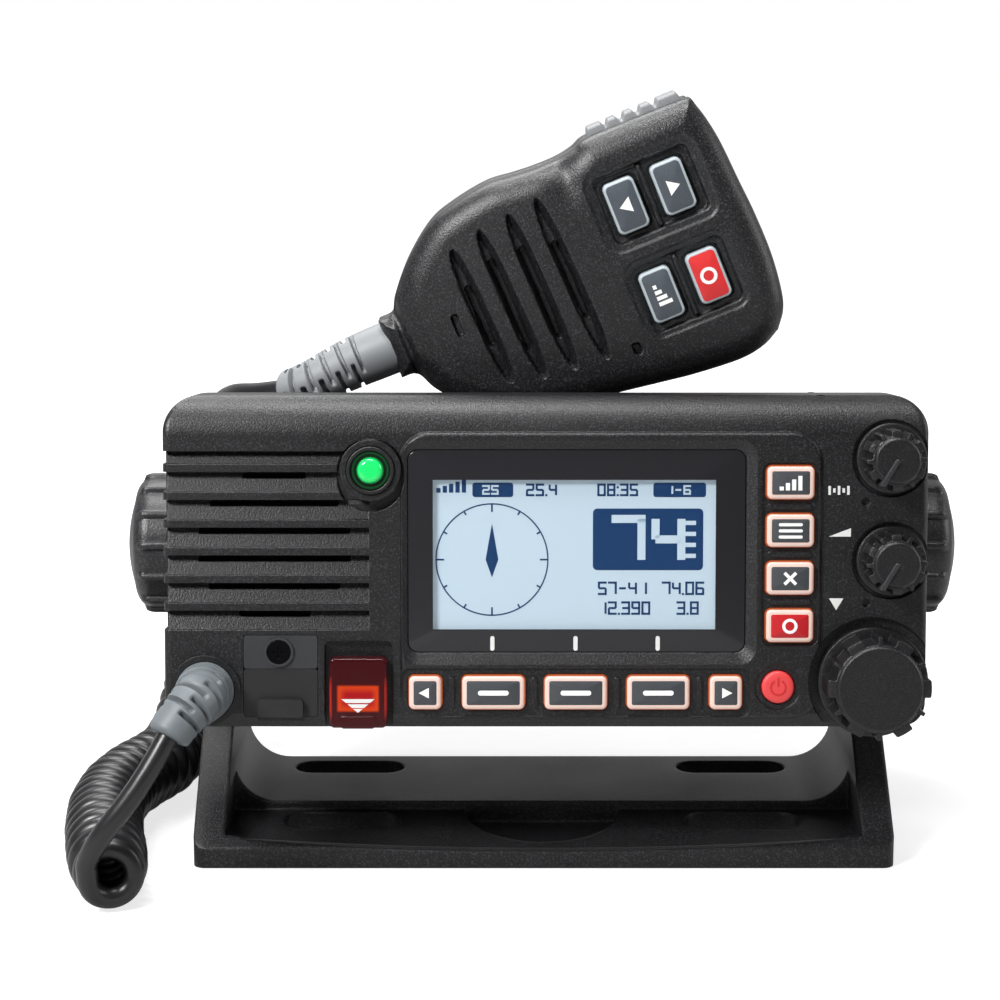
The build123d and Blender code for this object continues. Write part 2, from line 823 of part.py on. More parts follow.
    # Pocket of the emergency button, open at the panel's foot.
    with BuildSketch(face.offset(-alarm_pocket_depth)) as pocket:
        with BuildLine():
            Polyline(
                (alarm_left, alarm_top),
                (alarm_right, alarm_top),
                (alarm_right, -panel_height),
                (alarm_left, -panel_height),
                close=True,
            )
        make_face()
        fillet(pocket.vertices().group_by(Axis.Y)[-1], alarm_pocket_corner)
    extrude(amount=2 * alarm_pocket_depth, mode=Mode.SUBTRACT)
    with BuildSketch(face.offset(-blind_hole_depth)):
        with Locations(*blind_hole_places):
            Circle(blind_hole_radius)
    extrude(amount=2 * blind_hole_depth, mode=Mode.SUBTRACT)
finish(front_panel.part, "front_panel")

# ---------------------------------------------------------------- what the panel carries
module_back = wall_back - module_thickness
board_front = module_back - seat_gap
flange_front = wall_back - seat_gap
flange_back = flange_front - key_flange_thickness

with BuildPart() as display_window:
    with BuildSketch(face.offset(glass_back)):
        rounded(glass_width, glass_height, glass_corner, glass_x, glass_y)
    extrude(amount=glass_thickness)
finish(display_window.part, "display_window")

with BuildPart() as lcd_module:
    with BuildSketch(face.offset(module_back)):
        with Locations((screen_x, screen_y)):
            Rectangle(screen_width + 2 * module_margin, screen_height + 2 * module_margin)
    extrude(amount=module_thickness - seat_gap)
    with BuildSketch(face.offset(wall_back - seat_gap)):
        rounded(screen_width + 2, screen_height + 2, 1, screen_x, screen_y)
    extrude(amount=glass_back - wall_back)
finish(lcd_module.part, "lcd_module")


def push_key(name, x, y, width, height, front):
    """A moulded key: a cap through the panel's hole, held back by a flange behind the wall."""
    with BuildPart() as key:
        with BuildSketch(face.offset(flange_back)):
            rounded(width, height, key_corner, x, y)
        extrude(amount=front - flange_back)
        fillet(key.faces().sort_by(out_axis)[-1].edges(), key_edge_round)
        with BuildSketch(face.offset(flange_back)):
            rounded(width + 2 * key_flange_margin, height + 2 * key_flange_margin, key_corner, x, y)
        extrude(amount=key_flange_thickness)
    finish(key.part, name)


for name, x, y, width, height in key_places:
    push_key(name, x, y, width, height, key_front)
push_key(
    "emergency_button",
    alarm_x,
    alarm_button_y,
    alarm_button_width,
    alarm_button_height,
    alarm_button_front,
)

with BuildPart() as power_key:
    with BuildSketch(face.offset(flange_back)):
        disc(power_radius, power_x, power_y)
    extrude(amount=key_front - flange_back)
    fillet(power_key.faces().sort_by(out_axis)[-1].edges(), 2 * key_edge_round)
    with BuildSketch(face.offset(flange_back)):
        disc(power_radius + key_flange_margin, power_x, power_y)
    extrude(amount=key_flange_thickness)
finish(power_key.part, "power_key")

# The key board carries the switches and the rotary controls, and frames the display module.
with BuildPart() as key_board:
    with BuildSketch(face.offset(board_front - board_thickness)):
        with BuildLine():
            Polyline(
                (island_left, board_top),
                (board_right, board_top),
                (board_right, board_foot),
                (alarm_left, board_foot),
                (alarm_left, alarm_top),
                (island_left, alarm_top),
                close=True,
            )
        make_face()
    extrude(amount=board_thickness)
    with BuildSketch(face.offset(board_front)):
        for _, x, y, w, h in key_places:
            rounded(switch_size, switch_size, 0.5, x, y)
        rounded(switch_size, switch_size, 0.5, power_x, power_y)
        rounded(switch_size, switch_size, 0.5, alarm_x, alarm_button_y)
    extrude(amount=flange_back - key_travel - seat_gap - board_front)
finish(key_board.part, "key_board")

# ---------------------------------------------------------------- signal lamp and loudspeaker
with BuildPart() as lamp_bezel:
    with BuildSketch(face.offset(wall_back)):
        disc(lamp_ring_radius, lamp_x, lamp_y)
        disc(lamp_lens_radius + seat_gap, lamp_x, lamp_y, mode=Mode.SUBTRACT)
    extrude(amount=lamp_boss_rise - wall_back + lamp_ring_rise)
    fillet(lamp_bezel.faces().sort_by(out_axis)[-1].edges(), lamp_ring_rise / 3)
finish(lamp_bezel.part, "lamp_bezel")

with BuildPart() as lamp_lens:
    with BuildSketch(face.offset(wall_back)):
        disc(lamp_lens_radius, lamp_x, lamp_y)
    extrude(amount=lamp_boss_rise - wall_back)
    with BuildSketch(face.offset(lamp_boss_rise)):
        disc(lamp_dome_radius, lamp_x, lamp_y)
    extrude(amount=lamp_dome_rise)
    fillet(lamp_lens.faces().sort_by(out_axis)[-1].edges(), 0.8 * lamp_dome_rise)
finish(lamp_lens.part, "lamp_lens")

speaker_front = wall_back - seat_gap
magnet_radius = 0.55 * speaker_radius
with BuildPart() as speaker_frame:
    with BuildSketch(face.offset(speaker_front - speaker_rim)):
        disc(speaker_radius, speaker_x, speaker_y)
        disc(speaker_radius - speaker_rim, speaker_x, speaker_y, mode=Mode.SUBTRACT)
    extrude(amount=speaker_rim)
    with BuildSketch(face.offset(speaker_front - speaker_depth)):
        disc(magnet_radius + speaker_rim, speaker_x, speaker_y)
    extrude(amount=0.3 * speaker_depth + speaker_rim / 2)
    with BuildSketch(face.offset(speaker_front - 0.7 * speaker_depth)):
        disc(speaker_radius, speaker_x, speaker_y)
        disc(speaker_radius - speaker_rim, speaker_x, speaker_y, mode=Mode.SUBTRACT)
    extrude(amount=0.7 * speaker_depth - speaker_rim)
    with BuildSketch(face.offset(speaker_front - 0.7 * speaker_depth)):
        disc(speaker_radius, speaker_x, speaker_y)
    extrude(amount=speaker_rim)
finish(speaker_frame.part, "speaker_frame")

speaker_middle = face.from_local_coords((speaker_x, speaker_y, 0))
with BuildPart() as speaker_cone:
    with BuildSketch(Plane(origin=speaker_middle, x_dir=(1, 0, 0), z_dir=face_up)):
        # Local X runs outwards from the cone's axis, local Y back from the face.
        with BuildLine():
            Polyline(
                (0, -speaker_front + cone_depth),
                (0.35 * cone_radius, -speaker_front + cone_depth),
                (cone_radius, -speaker_front + speaker_rim),
                (cone_radius, -speaker_front + speaker_rim + cone_thickness),
                (0.35 * cone_radius, -speaker_front + cone_depth + cone_thickness),
                (0, -speaker_front + cone_depth + cone_thickness),
                close=True,
            )
        make_face()
    revolve(axis=Axis(speaker_middle, face_out))
finish(speaker_cone.part, "speaker_cone")

# ---------------------------------------------------------------- port cover and emergency cover
data_port_front = -cover_thickness - seat_gap
with BuildPart() as data_port:
    with BuildSketch(face.offset(data_port_front - data_port_length)):
        disc(data_port_radius, cover_middle_x, data_port_y)
    extrude(amount=data_port_length)
    with BuildSketch(face.offset(data_port_front - data_port_length / 2)):
        disc(data_port_radius / 2, cover_middle_x, data_port_y)
    extrude(amount=data_port_length, mode=Mode.SUBTRACT)
finish(data_port.part, "data_port")

with BuildPart() as port_cover:
    with BuildSketch(face.offset(-cover_thickness)):
        rounded(
            cover_right - cover_left,
            cover_top - cover_fold,
            cover_corner / 2,
            cover_middle_x,
            (cover_top + cover_fold) / 2,
        )
    extrude(amount=cover_thickness)
    with BuildSketch(face):
        disc(cover_boss_radius, cover_screw_x, cover_screw_y)
        with Locations((cover_middle_x, cover_top - (cover_top - cover_fold) / 2)):
            Rectangle(cover_right - cover_left, cover_top - cover_fold, mode=Mode.INTERSECT)
    extrude(amount=cover_boss_rise)
    with BuildSketch(face.offset(-cover_thickness)):
        disc(cover_screw_radius + seat_gap, cover_screw_x, cover_screw_y)
    extrude(amount=2 * cover_thickness, mode=Mode.SUBTRACT)
finish(port_cover.part, "port_cover")

with BuildPart() as port_screw:
    with BuildSketch(face.offset(-cover_thickness)):
        disc(cover_screw_radius, cover_screw_x, cover_screw_y)
    extrude(amount=cover_thickness + cover_boss_rise)
    with BuildSketch(face.offset(-cover_thickness - panel_front_wall)):
        disc(pilot_radius - seat_gap, cover_screw_x, cover_screw_y)
    extrude(amount=panel_front_wall)
    with BuildSketch(face.offset(cover_boss_rise - 0.6)):
        with Locations((cover_screw_x, cover_screw_y)):
            Rectangle(cover_screw_radius, cover_screw_radius / 4)
            Rectangle(cover_screw_radius / 4, cover_screw_radius)
    extrude(amount=cover_boss_rise, mode=Mode.SUBTRACT)
finish(port_screw.part, "port_screw")

with BuildPart() as port_flap:
    with BuildSketch(face.offset(-cover_thickness)):
        rounded(
            cover_right - cover_left,
            cover_fold - seat_gap - cover_foot,
            cover_corner / 2,
            cover_middle_x,
            (cover_fold - seat_gap + cover_foot) / 2,
        )
    extrude(amount=cover_thickness)
    with BuildSketch(face):
        rounded(flap_tab_width, flap_tab_height, 0.8, cover_middle_x, cover_foot + flap_tab_height / 2)
    extrude(amount=flap_tab_rise)
finish(port_flap.part, "port_flap")

alarm_cover_front = alarm_cover_rise
alarm_cover_back = -alarm_pocket_depth + alarm_swing_gap
with BuildPart() as emergency_cover:
    with BuildSketch(face.offset(alarm_cover_back)):
        rounded(
            alarm_cover_width,
            alarm_cover_top - alarm_cover_foot,
            alarm_cover_wall,
            alarm_x,
            alarm_cover_middle_y,
        )
    extrude(amount=alarm_cover_front - alarm_cover_back)
    fillet(emergency_cover.faces().sort_by(out_axis)[-1].edges(), alarm_cover_wall / 2)
    with BuildSketch(face.offset(alarm_cover_back)):
        rounded(
            alarm_cover_width - 2 * alarm_cover_wall,
            alarm_cover_top - alarm_cover_foot - 2 * alarm_cover_wall,
            alarm_cover_wall / 2,
            alarm_x,
            alarm_cover_middle_y,
        )
    extrude(amount=alarm_cover_front - alarm_cover_back - alarm_cover_wall, mode=Mode.SUBTRACT)
    with BuildSketch(face.offset(alarm_cover_front - alarm_cover_wall)):
        rounded(alarm_tab_width, 2 * alarm_tab_height, 0.8, alarm_x, alarm_cover_foot + alarm_tab_height)
    extrude(amount=alarm_cover_wall + alarm_tab_rise)
finish(emergency_cover.part, "emergency_cover")

# ---------------------------------------------------------------- rotary controls
with BuildPart() as control_pots:
    for x, y in ((squelch_x, squelch_y), (volume_x, volume_y), (dial_x, dial_y)):
        with BuildSketch(face.offset(wall_back - seat_gap - pot_depth)):
            with Locations((x, y)):
                Rectangle(pot_width, pot_width)
                Circle(shaft_radius + shaft_gap, mode=Mode.SUBTRACT)
        extrude(amount=pot_depth)
finish(control_pots.part, "control_pots")


def shaft(name, x, y, front, push):
    """A control's metal shaft, from inside its pot up into the knob."""
    with BuildPart() as rod:
        with BuildSketch(face.offset(wall_back - pot_depth + push)):
            disc(shaft_radius, x, y)
        extrude(amount=front - (wall_back - pot_depth + push))
    finish(rod.part, name)


def knob(name, x, y, skirt, skirt_thickness, grip, cap, height, teeth, foot):
    """A control knob: a wide skirt, a toothed grip with wide and narrow teeth in turn, a bevel and
    a flat cap with a pointer line."""
    with BuildPart() as body:
        with BuildSketch(face.offset(foot)):
            disc(skirt, x, y)
        extrude(amount=skirt_thickness)
        with BuildSketch(face.offset(foot)):
            disc(grip, x, y)
        extrude(amount=height)
        chamfer(body.faces().sort_by(out_axis)[-1].edges(), grip - cap)
        with BuildSketch(face.offset(foot + skirt_thickness)):
            with Locations((x, y)):
                with PolarLocations(grip, teeth):
                    RectangleRounded(2 * tooth_depth, tooth_gap, 0.3 * tooth_gap)
        extrude(amount=height, mode=Mode.SUBTRACT)
        with BuildSketch(face.offset(foot)):
            disc(shaft_radius + shaft_gap, x, y)
        extrude(amount=shaft_engagement + shaft_gap, mode=Mode.SUBTRACT)
    finish(body.part, name)


knob_foot = -knob_pocket_depth + knob_gap
dial_foot = -dial_pocket_depth + knob_gap + dial_push
shaft("squelch_shaft", squelch_x, squelch_y, knob_foot + shaft_engagement, 0)
shaft("volume_shaft", volume_x, volume_y, knob_foot + shaft_engagement, 0)
shaft("channel_shaft", dial_x, dial_y, dial_foot + shaft_engagement, dial_push)
for name, x, y in (("squelch_knob", squelch_x, squelch_y), ("volume_knob", volume_x, volume_y)):
    knob(
        name,
        x,
        y,
        knob_skirt_radius,
        knob_skirt_thickness,
        knob_grip_radius,
        knob_cap_radius,
        knob_height,
        knob_teeth,
        knob_foot,
    )
knob(
    "channel_knob",
    dial_x,
    dial_y,
    dial_skirt_radius,
    dial_skirt_thickness,
    dial_grip_radius,
    dial_cap_radius,
    dial_height,
    dial_teeth,
    dial_foot,
)

# ---------------------------------------------------------------- case behind the panel
gasket_front = panel_back - seat_gap
gasket_back = gasket_front - gasket_thickness
flange_face = gasket_back - seat_gap
case_front = flange_face - flange_thickness
case_back = flange_face - case_depth
screw_back = flange_face - flange_thickness

with BuildPart() as panel_gasket:
    with BuildSketch(face.offset(gasket_back)):
        RectangleRounded(panel_width - 2, panel_height - 2, panel_foot_corner)
        RectangleRounded(
            panel_width - 2 * panel_side_wall - 2,
            panel_height - 2 * panel_side_wall - 2,
            panel_foot_corner - panel_side_wall,
            mode=Mode.SUBTRACT,
        )
        with Locations(*case_screw_places):
            Circle(boss_radius)
            Circle(screw_radius + seat_gap, mode=Mode.SUBTRACT)
    extrude(amount=gasket_thickness)
finish(panel_gasket.part, "panel_gasket")

with BuildPart() as chassis:
    with BuildSketch(face.offset(case_front)):
        RectangleRounded(panel_width - 2, panel_height - 2, panel_foot_corner)
    extrude(amount=flange_thickness)
    with BuildSketch(face.offset(case_back)):
        RectangleRounded(case_width, case_height, case_corner)
    extrude(amount=case_depth)
    # Upright cooling fins across the back.
    with BuildSketch(face.offset(case_back - fin_depth)) as fins:
        with GridLocations(fin_pitch, 1, case_fin_count, 1):
            Rectangle(fin_thickness, case_height - case_corner)
    extrude(amount=fin_depth)
    # Round pads stand between the fins where the sockets are.
    with BuildSketch(face.offset(case_back - fin_depth / 2)):
        disc(socket_pad_radius, antenna_x, antenna_y)
        disc(socket_pad_radius, gland_x, gland_y)
        disc(socket_pad_radius, port_x, port_y)
    extrude(amount=fin_depth / 2)
    with BuildSketch(face.offset(case_back - 2 * fin_depth)):
        disc(socket_pad_radius, antenna_x, antenna_y)
        disc(socket_pad_radius, gland_x, gland_y)
        disc(socket_pad_radius, port_x, port_y)
    extrude(amount=1.5 * fin_depth, mode=Mode.SUBTRACT)
    # The inside, with thick bosses left about the pivot inserts.
    with BuildSketch(face.offset(case_back + case_rear_wall)):
        RectangleRounded(case_width - 2 * case_wall, case_height - 2 * case_wall, case_corner - case_wall)
    extrude(amount=case_depth, mode=Mode.SUBTRACT)
    for side in (-1, 1):
        pivot_plane = Plane(origin=(side * case_half, pivot_y, pivot_height), z_dir=(-side, 0, 0))
        with BuildSketch(pivot_plane):
            Circle(insert_radius + case_wall)
        extrude(amount=insert_length + case_wall)
        with BuildSketch(pivot_plane):
            Circle(insert_radius + seat_gap / 2)
        extrude(amount=insert_length + seat_gap, mode=Mode.SUBTRACT)
    # Holes of the case screws and of the sockets.
    with BuildSketch(face.offset(case_front - 1)):
        with Locations(*case_screw_places):
            Circle(screw_radius + seat_gap)
    extrude(amount=flange_thickness + 2, mode=Mode.SUBTRACT)
    with BuildSketch(face.offset(case_back - fin_depth)):
        disc(antenna_body_radius + seat_gap, antenna_x, antenna_y)
        disc(gland_radius + seat_gap, gland_x, gland_y)
        disc(port_socket_radius + seat_gap, port_x, port_y)
    extrude(amount=fin_depth + case_rear_wall + 1, mode=Mode.SUBTRACT)
    # Shallow ribs along the top and the sides.
    for i in range(case_groove_count):
        groove_at = (i - (case_groove_count - 1) / 2) * case_groove_pitch
        with BuildSketch(face.offset(case_back)):
            with Locations((groove_at, case_height / 2), (groove_at, -case_height / 2)):
                Rectangle(case_groove_width, 2 * case_groove_depth)
        extrude(amount=case_depth - flange_thickness - case_groove_width, mode=Mode.SUBTRACT)
finish(chassis.part, "chassis")

with BuildPart() as chassis_screws:
    with BuildSketch(face.offset(screw_back - screw_head_height)):
        with Locations(*case_screw_places):
            Circle(screw_head_radius)
    extrude(amount=screw_head_height)
    with BuildSketch(face.offset(screw_back)):
        with Locations(*case_screw_places):
            Circle(pilot_radius - seat_gap)
    extrude(amount=screw_length)
    with BuildSketch(face.offset(screw_back - screw_head_height)):
        with Locations(*case_screw_places):
            Rectangle(screw_head_radius, screw_head_radius / 4)
            Rectangle(screw_head_radius / 4, screw_head_radius)
    extrude(amount=screw_head_height / 2, mode=Mode.SUBTRACT)
finish(chassis_screws.part, "chassis_screws")

pad_face = case_back - fin_depth / 2
with BuildPart() as antenna_socket:
    with BuildSketch(face.offset(pad_face - flange_thickness - seat_gap)):
        with Locations((antenna_x, antenna_y)):
            RectangleRounded(antenna_flange, antenna_flange, 3)
    extrude(amount=flange_thickness)
    with BuildSketch(face.offset(pad_face - flange_thickness - antenna_thread_length)):
        disc(antenna_thread_radius, antenna_x, antenna_y)
    extrude(amount=antenna_thread_length)
    with BuildSketch(face.offset(pad_face - flange_thickness)):
        disc(antenna_body_radius, antenna_x, antenna_y)
    extrude(amount=flange_thickness + fin_depth / 2 + case_rear_wall)
    with BuildSketch(face.offset(pad_face - flange_thickness - antenna_thread_length)):
        disc(antenna_bore_radius, antenna_x, antenna_y)
    extrude(amount=0.8 * antenna_thread_length, mode=Mode.SUBTRACT)
    with BuildSketch(face.offset(pad_face - flange_thickness - antenna_thread_length)):
        disc(antenna_pin_radius, antenna_x, antenna_y)
    extrude(amount=0.8 * antenna_thread_length)
    with BuildSketch(face.offset(pad_face - flange_thickness - antenna_thread_length)):
        disc(antenna_pin_radius / 2, antenna_x, antenna_y)
    extrude(amount=0.6 * antenna_thread_length, mode=Mode.SUBTRACT)
finish(antenna_socket.part, "antenna_socket")

with BuildPart() as power_gland:
    with BuildSketch(face.offset(pad_face - gland_length)):
        disc(gland_radius * 0.8, gland_x, gland_y)
    extrude(amount=gland_length)
    with BuildSketch(face.offset(pad_face - gland_length * 0.4)):
        disc(gland_radius * 1.35, gland_x, gland_y)
    extrude(amount=gland_length * 0.4 - seat_gap)
    with BuildSketch(face.offset(pad_face)):
        disc(gland_radius, gland_x, gland_y)
    extrude(amount=fin_depth / 2 + case_rear_wall)
    with BuildSketch(face.offset(pad_face - gland_length)):
        disc(gland_radius * 0.45, gland_x, gland_y)
    extrude(amount=gland_length, mode=Mode.SUBTRACT)
finish(power_gland.part, "power_gland")

with BuildPart() as data_socket:
    with BuildSketch(face.offset(pad_face - port_socket_length)):
        disc(port_socket_radius, port_x, port_y)
    extrude(amount=port_socket_length + fin_depth / 2 + case_rear_wall)
    with BuildSketch(face.offset(pad_face - port_socket_length)):
        disc(port_socket_radius * 0.7, port_x, port_y)
    extrude(amount=port_socket_length, mode=Mode.SUBTRACT)
    with BuildSketch(face.offset(pad_face)):
        with Locations((port_x, port_y)):
            with PolarLocations(port_socket_radius * 0.4, 5):
                Circle(0.6)
    extrude(amount=-port_socket_length / 2)
finish(data_socket.part, "data_socket")

with BuildPart() as main_board:
    with BuildSketch(face.offset(case_back + case_rear_wall + board_stand_off)):
        with Locations((0, main_board_y)):
            Rectangle(case_width - 2 * case_wall - 2 * soft_gap, board_thickness)
    extrude(amount=main_board_length)
    with BuildSketch(face.offset(case_back + case_rear_wall + board_stand_off + 0.1 * main_board_length)):
        with Locations((antenna_x / 2, main_board_y + can_height / 2)):
            Rectangle(0.3 * case_width, can_height + board_thickness)
    extrude(amount=0.5 * main_board_length)
    with BuildSketch(face.offset(case_back + case_rear_wall)):
        for x in (-0.35 * case_width, 0.35 * case_width):
            with Locations((x, main_board_y + can_height / 2)):
                Rectangle(can_height, can_height + board_thickness)
    extrude(amount=0.25 * main_board_length)
finish(main_board.part, "main_board")

# ---------------------------------------------------------------- outlet of the microphone lead
def boot(name, seat, out, tip, way, root, middle, end, straight, base_depth):
    """A tapered strain relief that bends from its seat to its tip."""
    with BuildPart() as sleeve:
        with BuildSketch(Plane(origin=seat - out * base_depth, z_dir=out)):
            Circle(root)
        extrude(amount=base_depth)
        with BuildSketch(Plane(origin=seat, z_dir=out)):
            Circle(root)
        with BuildSketch(Plane(origin=seat + out * straight, z_dir=out + way * 0.4)):
            Circle(middle)
        with BuildSketch(Plane(origin=tip, z_dir=way)):
            Circle(end)
        loft()
    finish(sleeve.part, name)


boot_seat = face.from_local_coords((outlet_x, outlet_y, outlet_ring_rise))
boot_tip = Vector(*boot_end)
lead_way = (Vector(*lead_points[1]) - boot_tip).normalized()
with BuildPart() as outlet_ring:
    with BuildSketch(face.offset(2 * wall_back)):
        disc(outlet_ring_radius - outlet_ring_wall, outlet_x, outlet_y)
        disc(boot_base_radius + seat_gap, outlet_x, outlet_y, mode=Mode.SUBTRACT)
    extrude(amount=outlet_ring_rise - 2 * wall_back)
    with BuildSketch(face):
        disc(outlet_ring_radius, outlet_x, outlet_y)
        disc(boot_base_radius + seat_gap, outlet_x, outlet_y, mode=Mode.SUBTRACT)
    extrude(amount=outlet_ring_rise)
finish(outlet_ring.part, "outlet_ring")
boot(
    "panel_boot",
    boot_seat,
    face_out,
    boot_tip,
    lead_way,
    boot_base_radius,
    boot_root_radius,
    boot_end_radius,
    boot_straight,
    outlet_ring_rise - 2 * wall_back,
)

# ---------------------------------------------------------------- hand microphone
mic_along = Vector(cos(radians(mic_lean)), 0, sin(radians(mic_lean)))
mic = Plane(origin=(mic_x, mic_y, mic_z), x_dir=mic_along, z_dir=(0, -1, 0))
mic_out = Axis(mic.origin, mic.z_dir)
mic_key_places = {
    "mic_down_key": (mic_key_first, mic_key_side),
    "mic_up_key": (mic_key_first + mic_key_pitch, mic_key_side),
    "mic_power_level_key": (mic_key_first, -mic_key_side),
    "mic_priority_key": (mic_key_first + mic_key_pitch, -mic_key_side),
}
mic_slots = [
    (mic_slot_first + i * mic_slot_pitch, mic_slot_half_span + i * mic_slot_span_step)
    for i in range(mic_slot_count)
]
talk_middle = (talk_from + talk_to) / 2
talk_length = talk_to - talk_from
talk_root = mic_half_width - 2.5 * mic_wall


def mic_outline(outline, shrink):
    """The microphone's outline: a neck, two shoulders and a broad head with round corners."""
    Polygon(
        (shrink, shrink - mic_neck_half_width),
        (mic_shoulder_at, shrink - mic_shoulder_half_width),
        (mic_waist_at, shrink - mic_waist_half_width),
        (mic_length - shrink, shrink - mic_half_width),
        (mic_length - shrink, mic_half_width - shrink),
        (mic_waist_at, mic_waist_half_width - shrink),
        (mic_shoulder_at, mic_shoulder_half_width - shrink),
        (shrink, mic_neck_half_width - shrink),
        align=None,
    )
    fillet(outline.vertices().group_by(Axis.X)[-1], mic_corner - shrink)
    fillet(outline.vertices().group_by(Axis.X)[1], mic_shoulder_round)


def mic_half(way, depth):
    """One half of the casing, hollow from the joint, with openings for the boot and the talk bar."""
    joint = mic.offset(way * seat_gap / 2)
    with BuildPart() as half:
        with BuildSketch(joint) as outside:
            mic_outline(outside, 0)
        extrude(amount=way * (depth - seat_gap / 2), taper=mic_taper)
        fillet(half.faces().sort_by(mic_out)[-1 if way > 0 else 0].edges(), mic_edge_round)
        with BuildSketch(joint) as inside:
            mic_outline(inside, mic_wall)
        extrude(amount=way * (depth - mic_wall - mic_edge_round / 2), taper=mic_taper, mode=Mode.SUBTRACT)
        with BuildSketch(Plane(origin=mic.origin, z_dir=-mic_along)):
            Circle(mic_boot_neck_radius + seat_gap)
        extrude(amount=-2 * mic_wall, both=True, mode=Mode.SUBTRACT)
        with BuildSketch(mic.offset(-talk_height / 2 - key_gap)):
            with Locations((talk_middle, mic_half_width)):
                Rectangle(talk_length + 2 * key_gap, 4 * mic_wall)
        extrude(amount=talk_height + 2 * key_gap, mode=Mode.SUBTRACT)
    return half.part


with BuildPart() as mic_front_shell:
    add(mic_half(1, mic_front_depth))
    # Recesses about the two pairs of keys, and the keys' holes.
    with BuildSketch(mic.offset(mic_front_depth - mic_recess)):
        for side in (-1, 1):
            rounded(
                mic_key_pitch + mic_key_width + 2 * mic_recess_margin,
                mic_key_length + 2 * mic_recess_margin,
                key_corner + mic_recess_margin,
                mic_key_first + mic_key_pitch / 2,
                side * mic_key_side,
            )
    extrude(amount=mic_front_depth, mode=Mode.SUBTRACT)
    with BuildSketch(mic.offset(mic_front_depth / 2)):
        for x, y in mic_key_places.values():
            rounded(mic_key_width + 2 * key_gap, mic_key_length + 2 * key_gap, key_corner + key_gap, x, y)
        disc(mic_hole_radius, mic_hole_at, -mic_hole_side)
    extrude(amount=mic_front_depth, mode=Mode.SUBTRACT)
    # Voice slots: wide shallow grooves with a narrow slit along the middle of each.
    for slot_at, half_span in mic_slots:
        with BuildSketch(mic.offset(mic_front_depth - mic_slot_depth)):
            with Locations((slot_at, 0)):
                SlotOverall(2 * half_span, mic_slot_width, rotation=90)
        extrude(amount=mic_front_depth, mode=Mode.SUBTRACT)
        with BuildSketch(mic.offset(mic_front_depth / 2)):
            with Locations((slot_at, 0)):
                SlotOverall(1.3 * half_span, mic_slot_width / 3, rotation=90)
        extrude(amount=mic_front_depth, mode=Mode.SUBTRACT)
finish(mic_front_shell.part, "mic_front_shell")

with BuildPart() as mic_rear_shell:
    add(mic_half(-1, mic_rear_depth))
    with BuildSketch(mic.offset(-mic_rear_depth)):
        disc(hanger_neck_radius / 2 + seat_gap, mic_length / 2, 0)
    extrude(amount=2 * mic_wall + mic_edge_round, mode=Mode.SUBTRACT)
finish(mic_rear_shell.part, "mic_rear_shell")

with BuildPart() as hanger_stud:
    with BuildSketch(mic.offset(-mic_rear_depth - hanger_neck_length - seat_gap)):
        disc(hanger_neck_radius, mic_length / 2, 0)
    extrude(amount=hanger_neck_length)
    with BuildSketch(mic.offset(-mic_rear_depth - hanger_neck_length - hanger_cap_thickness - seat_gap)):
        disc(hanger_radius, mic_length / 2, 0)
    extrude(amount=hanger_cap_thickness)
    fillet(hanger_stud.faces().sort_by(mic_out)[0].edges(), hanger_cap_thickness / 2)
    with BuildSketch(mic.offset(-mic_rear_depth - seat_gap)):
        disc(hanger_neck_radius / 2, mic_length / 2, 0)
    extrude(amount=2 * mic_wall)
finish(hanger_stud.part, "hanger_stud")

mic_floor = mic_front_depth - mic_wall - mic_edge_round / 2
mic_flange_front = mic_floor - seat_gap
for name, (x, y) in mic_key_places.items():
    with BuildPart() as key:
        with BuildSketch(mic.offset(mic_flange_front - key_flange_thickness)):
            rounded(mic_key_width, mic_key_length, key_corner, x, y)
        extrude(amount=mic_front_depth - mic_recess + mic_key_rise - mic_flange_front + key_flange_thickness)
        fillet(key.faces().sort_by(mic_out)[-1].edges(), key_edge_round)
        with BuildSketch(mic.offset(mic_flange_front - key_flange_thickness)):
            rounded(
                mic_key_width + 2 * key_flange_margin,
                mic_key_length + 2 * key_flange_margin,
                key_corner,
                x,
                y,
            )
        extrude(amount=key_flange_thickness)
    finish(key.part, name)

with BuildPart() as talk_bar:
    with BuildSketch(mic.offset(-talk_height / 2)):
        with Locations((talk_middle, (talk_root + mic_half_width + talk_rise) / 2)):
            Rectangle(talk_length, mic_half_width + talk_rise - talk_root)
    extrude(amount=talk_height)
    outer_edges = talk_bar.edges().filter_by(mic_out).group_by(Axis(mic.origin, mic.y_dir))[-1]
    fillet(outer_edges, talk_rise)
    # A flange inside the casing holds the bar in.
    with BuildSketch(mic.offset(-talk_height / 2)):
        with Locations((talk_middle, talk_root + mic_wall / 4)):
            Rectangle(talk_length + 2 * key_flange_margin, mic_wall / 2)
    extrude(amount=talk_height)
    with BuildSketch(mic.offset(-talk_height / 2)):
        with Locations((talk_middle, mic_half_width + talk_rise)):
            with GridLocations(talk_length / talk_ribs, 1, talk_ribs - 1, 1):
                Rectangle(talk_groove, 2 * talk_groove_depth)
    extrude(amount=talk_height, mode=Mode.SUBTRACT)
finish(talk_bar.part, "talk_bar")

mic_board_front = mic_flange_front - key_flange_thickness - mic_key_travel - seat_gap
with BuildPart() as mic_board:
    with BuildSketch(mic.offset(mic_board_front - 2 * mic_wall)):
        with Locations(((mic_waist_at + mic_length - 4 * mic_wall) / 2, -mic_wall)):
            Rectangle(mic_length - 4 * mic_wall - mic_waist_at, 2 * (talk_root - 3 * mic_wall))
    extrude(amount=board_thickness)
    with BuildSketch(mic.offset(mic_board_front - 2 * mic_wall)):
        for x, y in mic_key_places.values():
            rounded(switch_size, switch_size, 0.5, x, y)
        disc(capsule_radius, mic_hole_at, -mic_hole_side)
    extrude(amount=2 * mic_wall)
finish(mic_board.part, "mic_board")

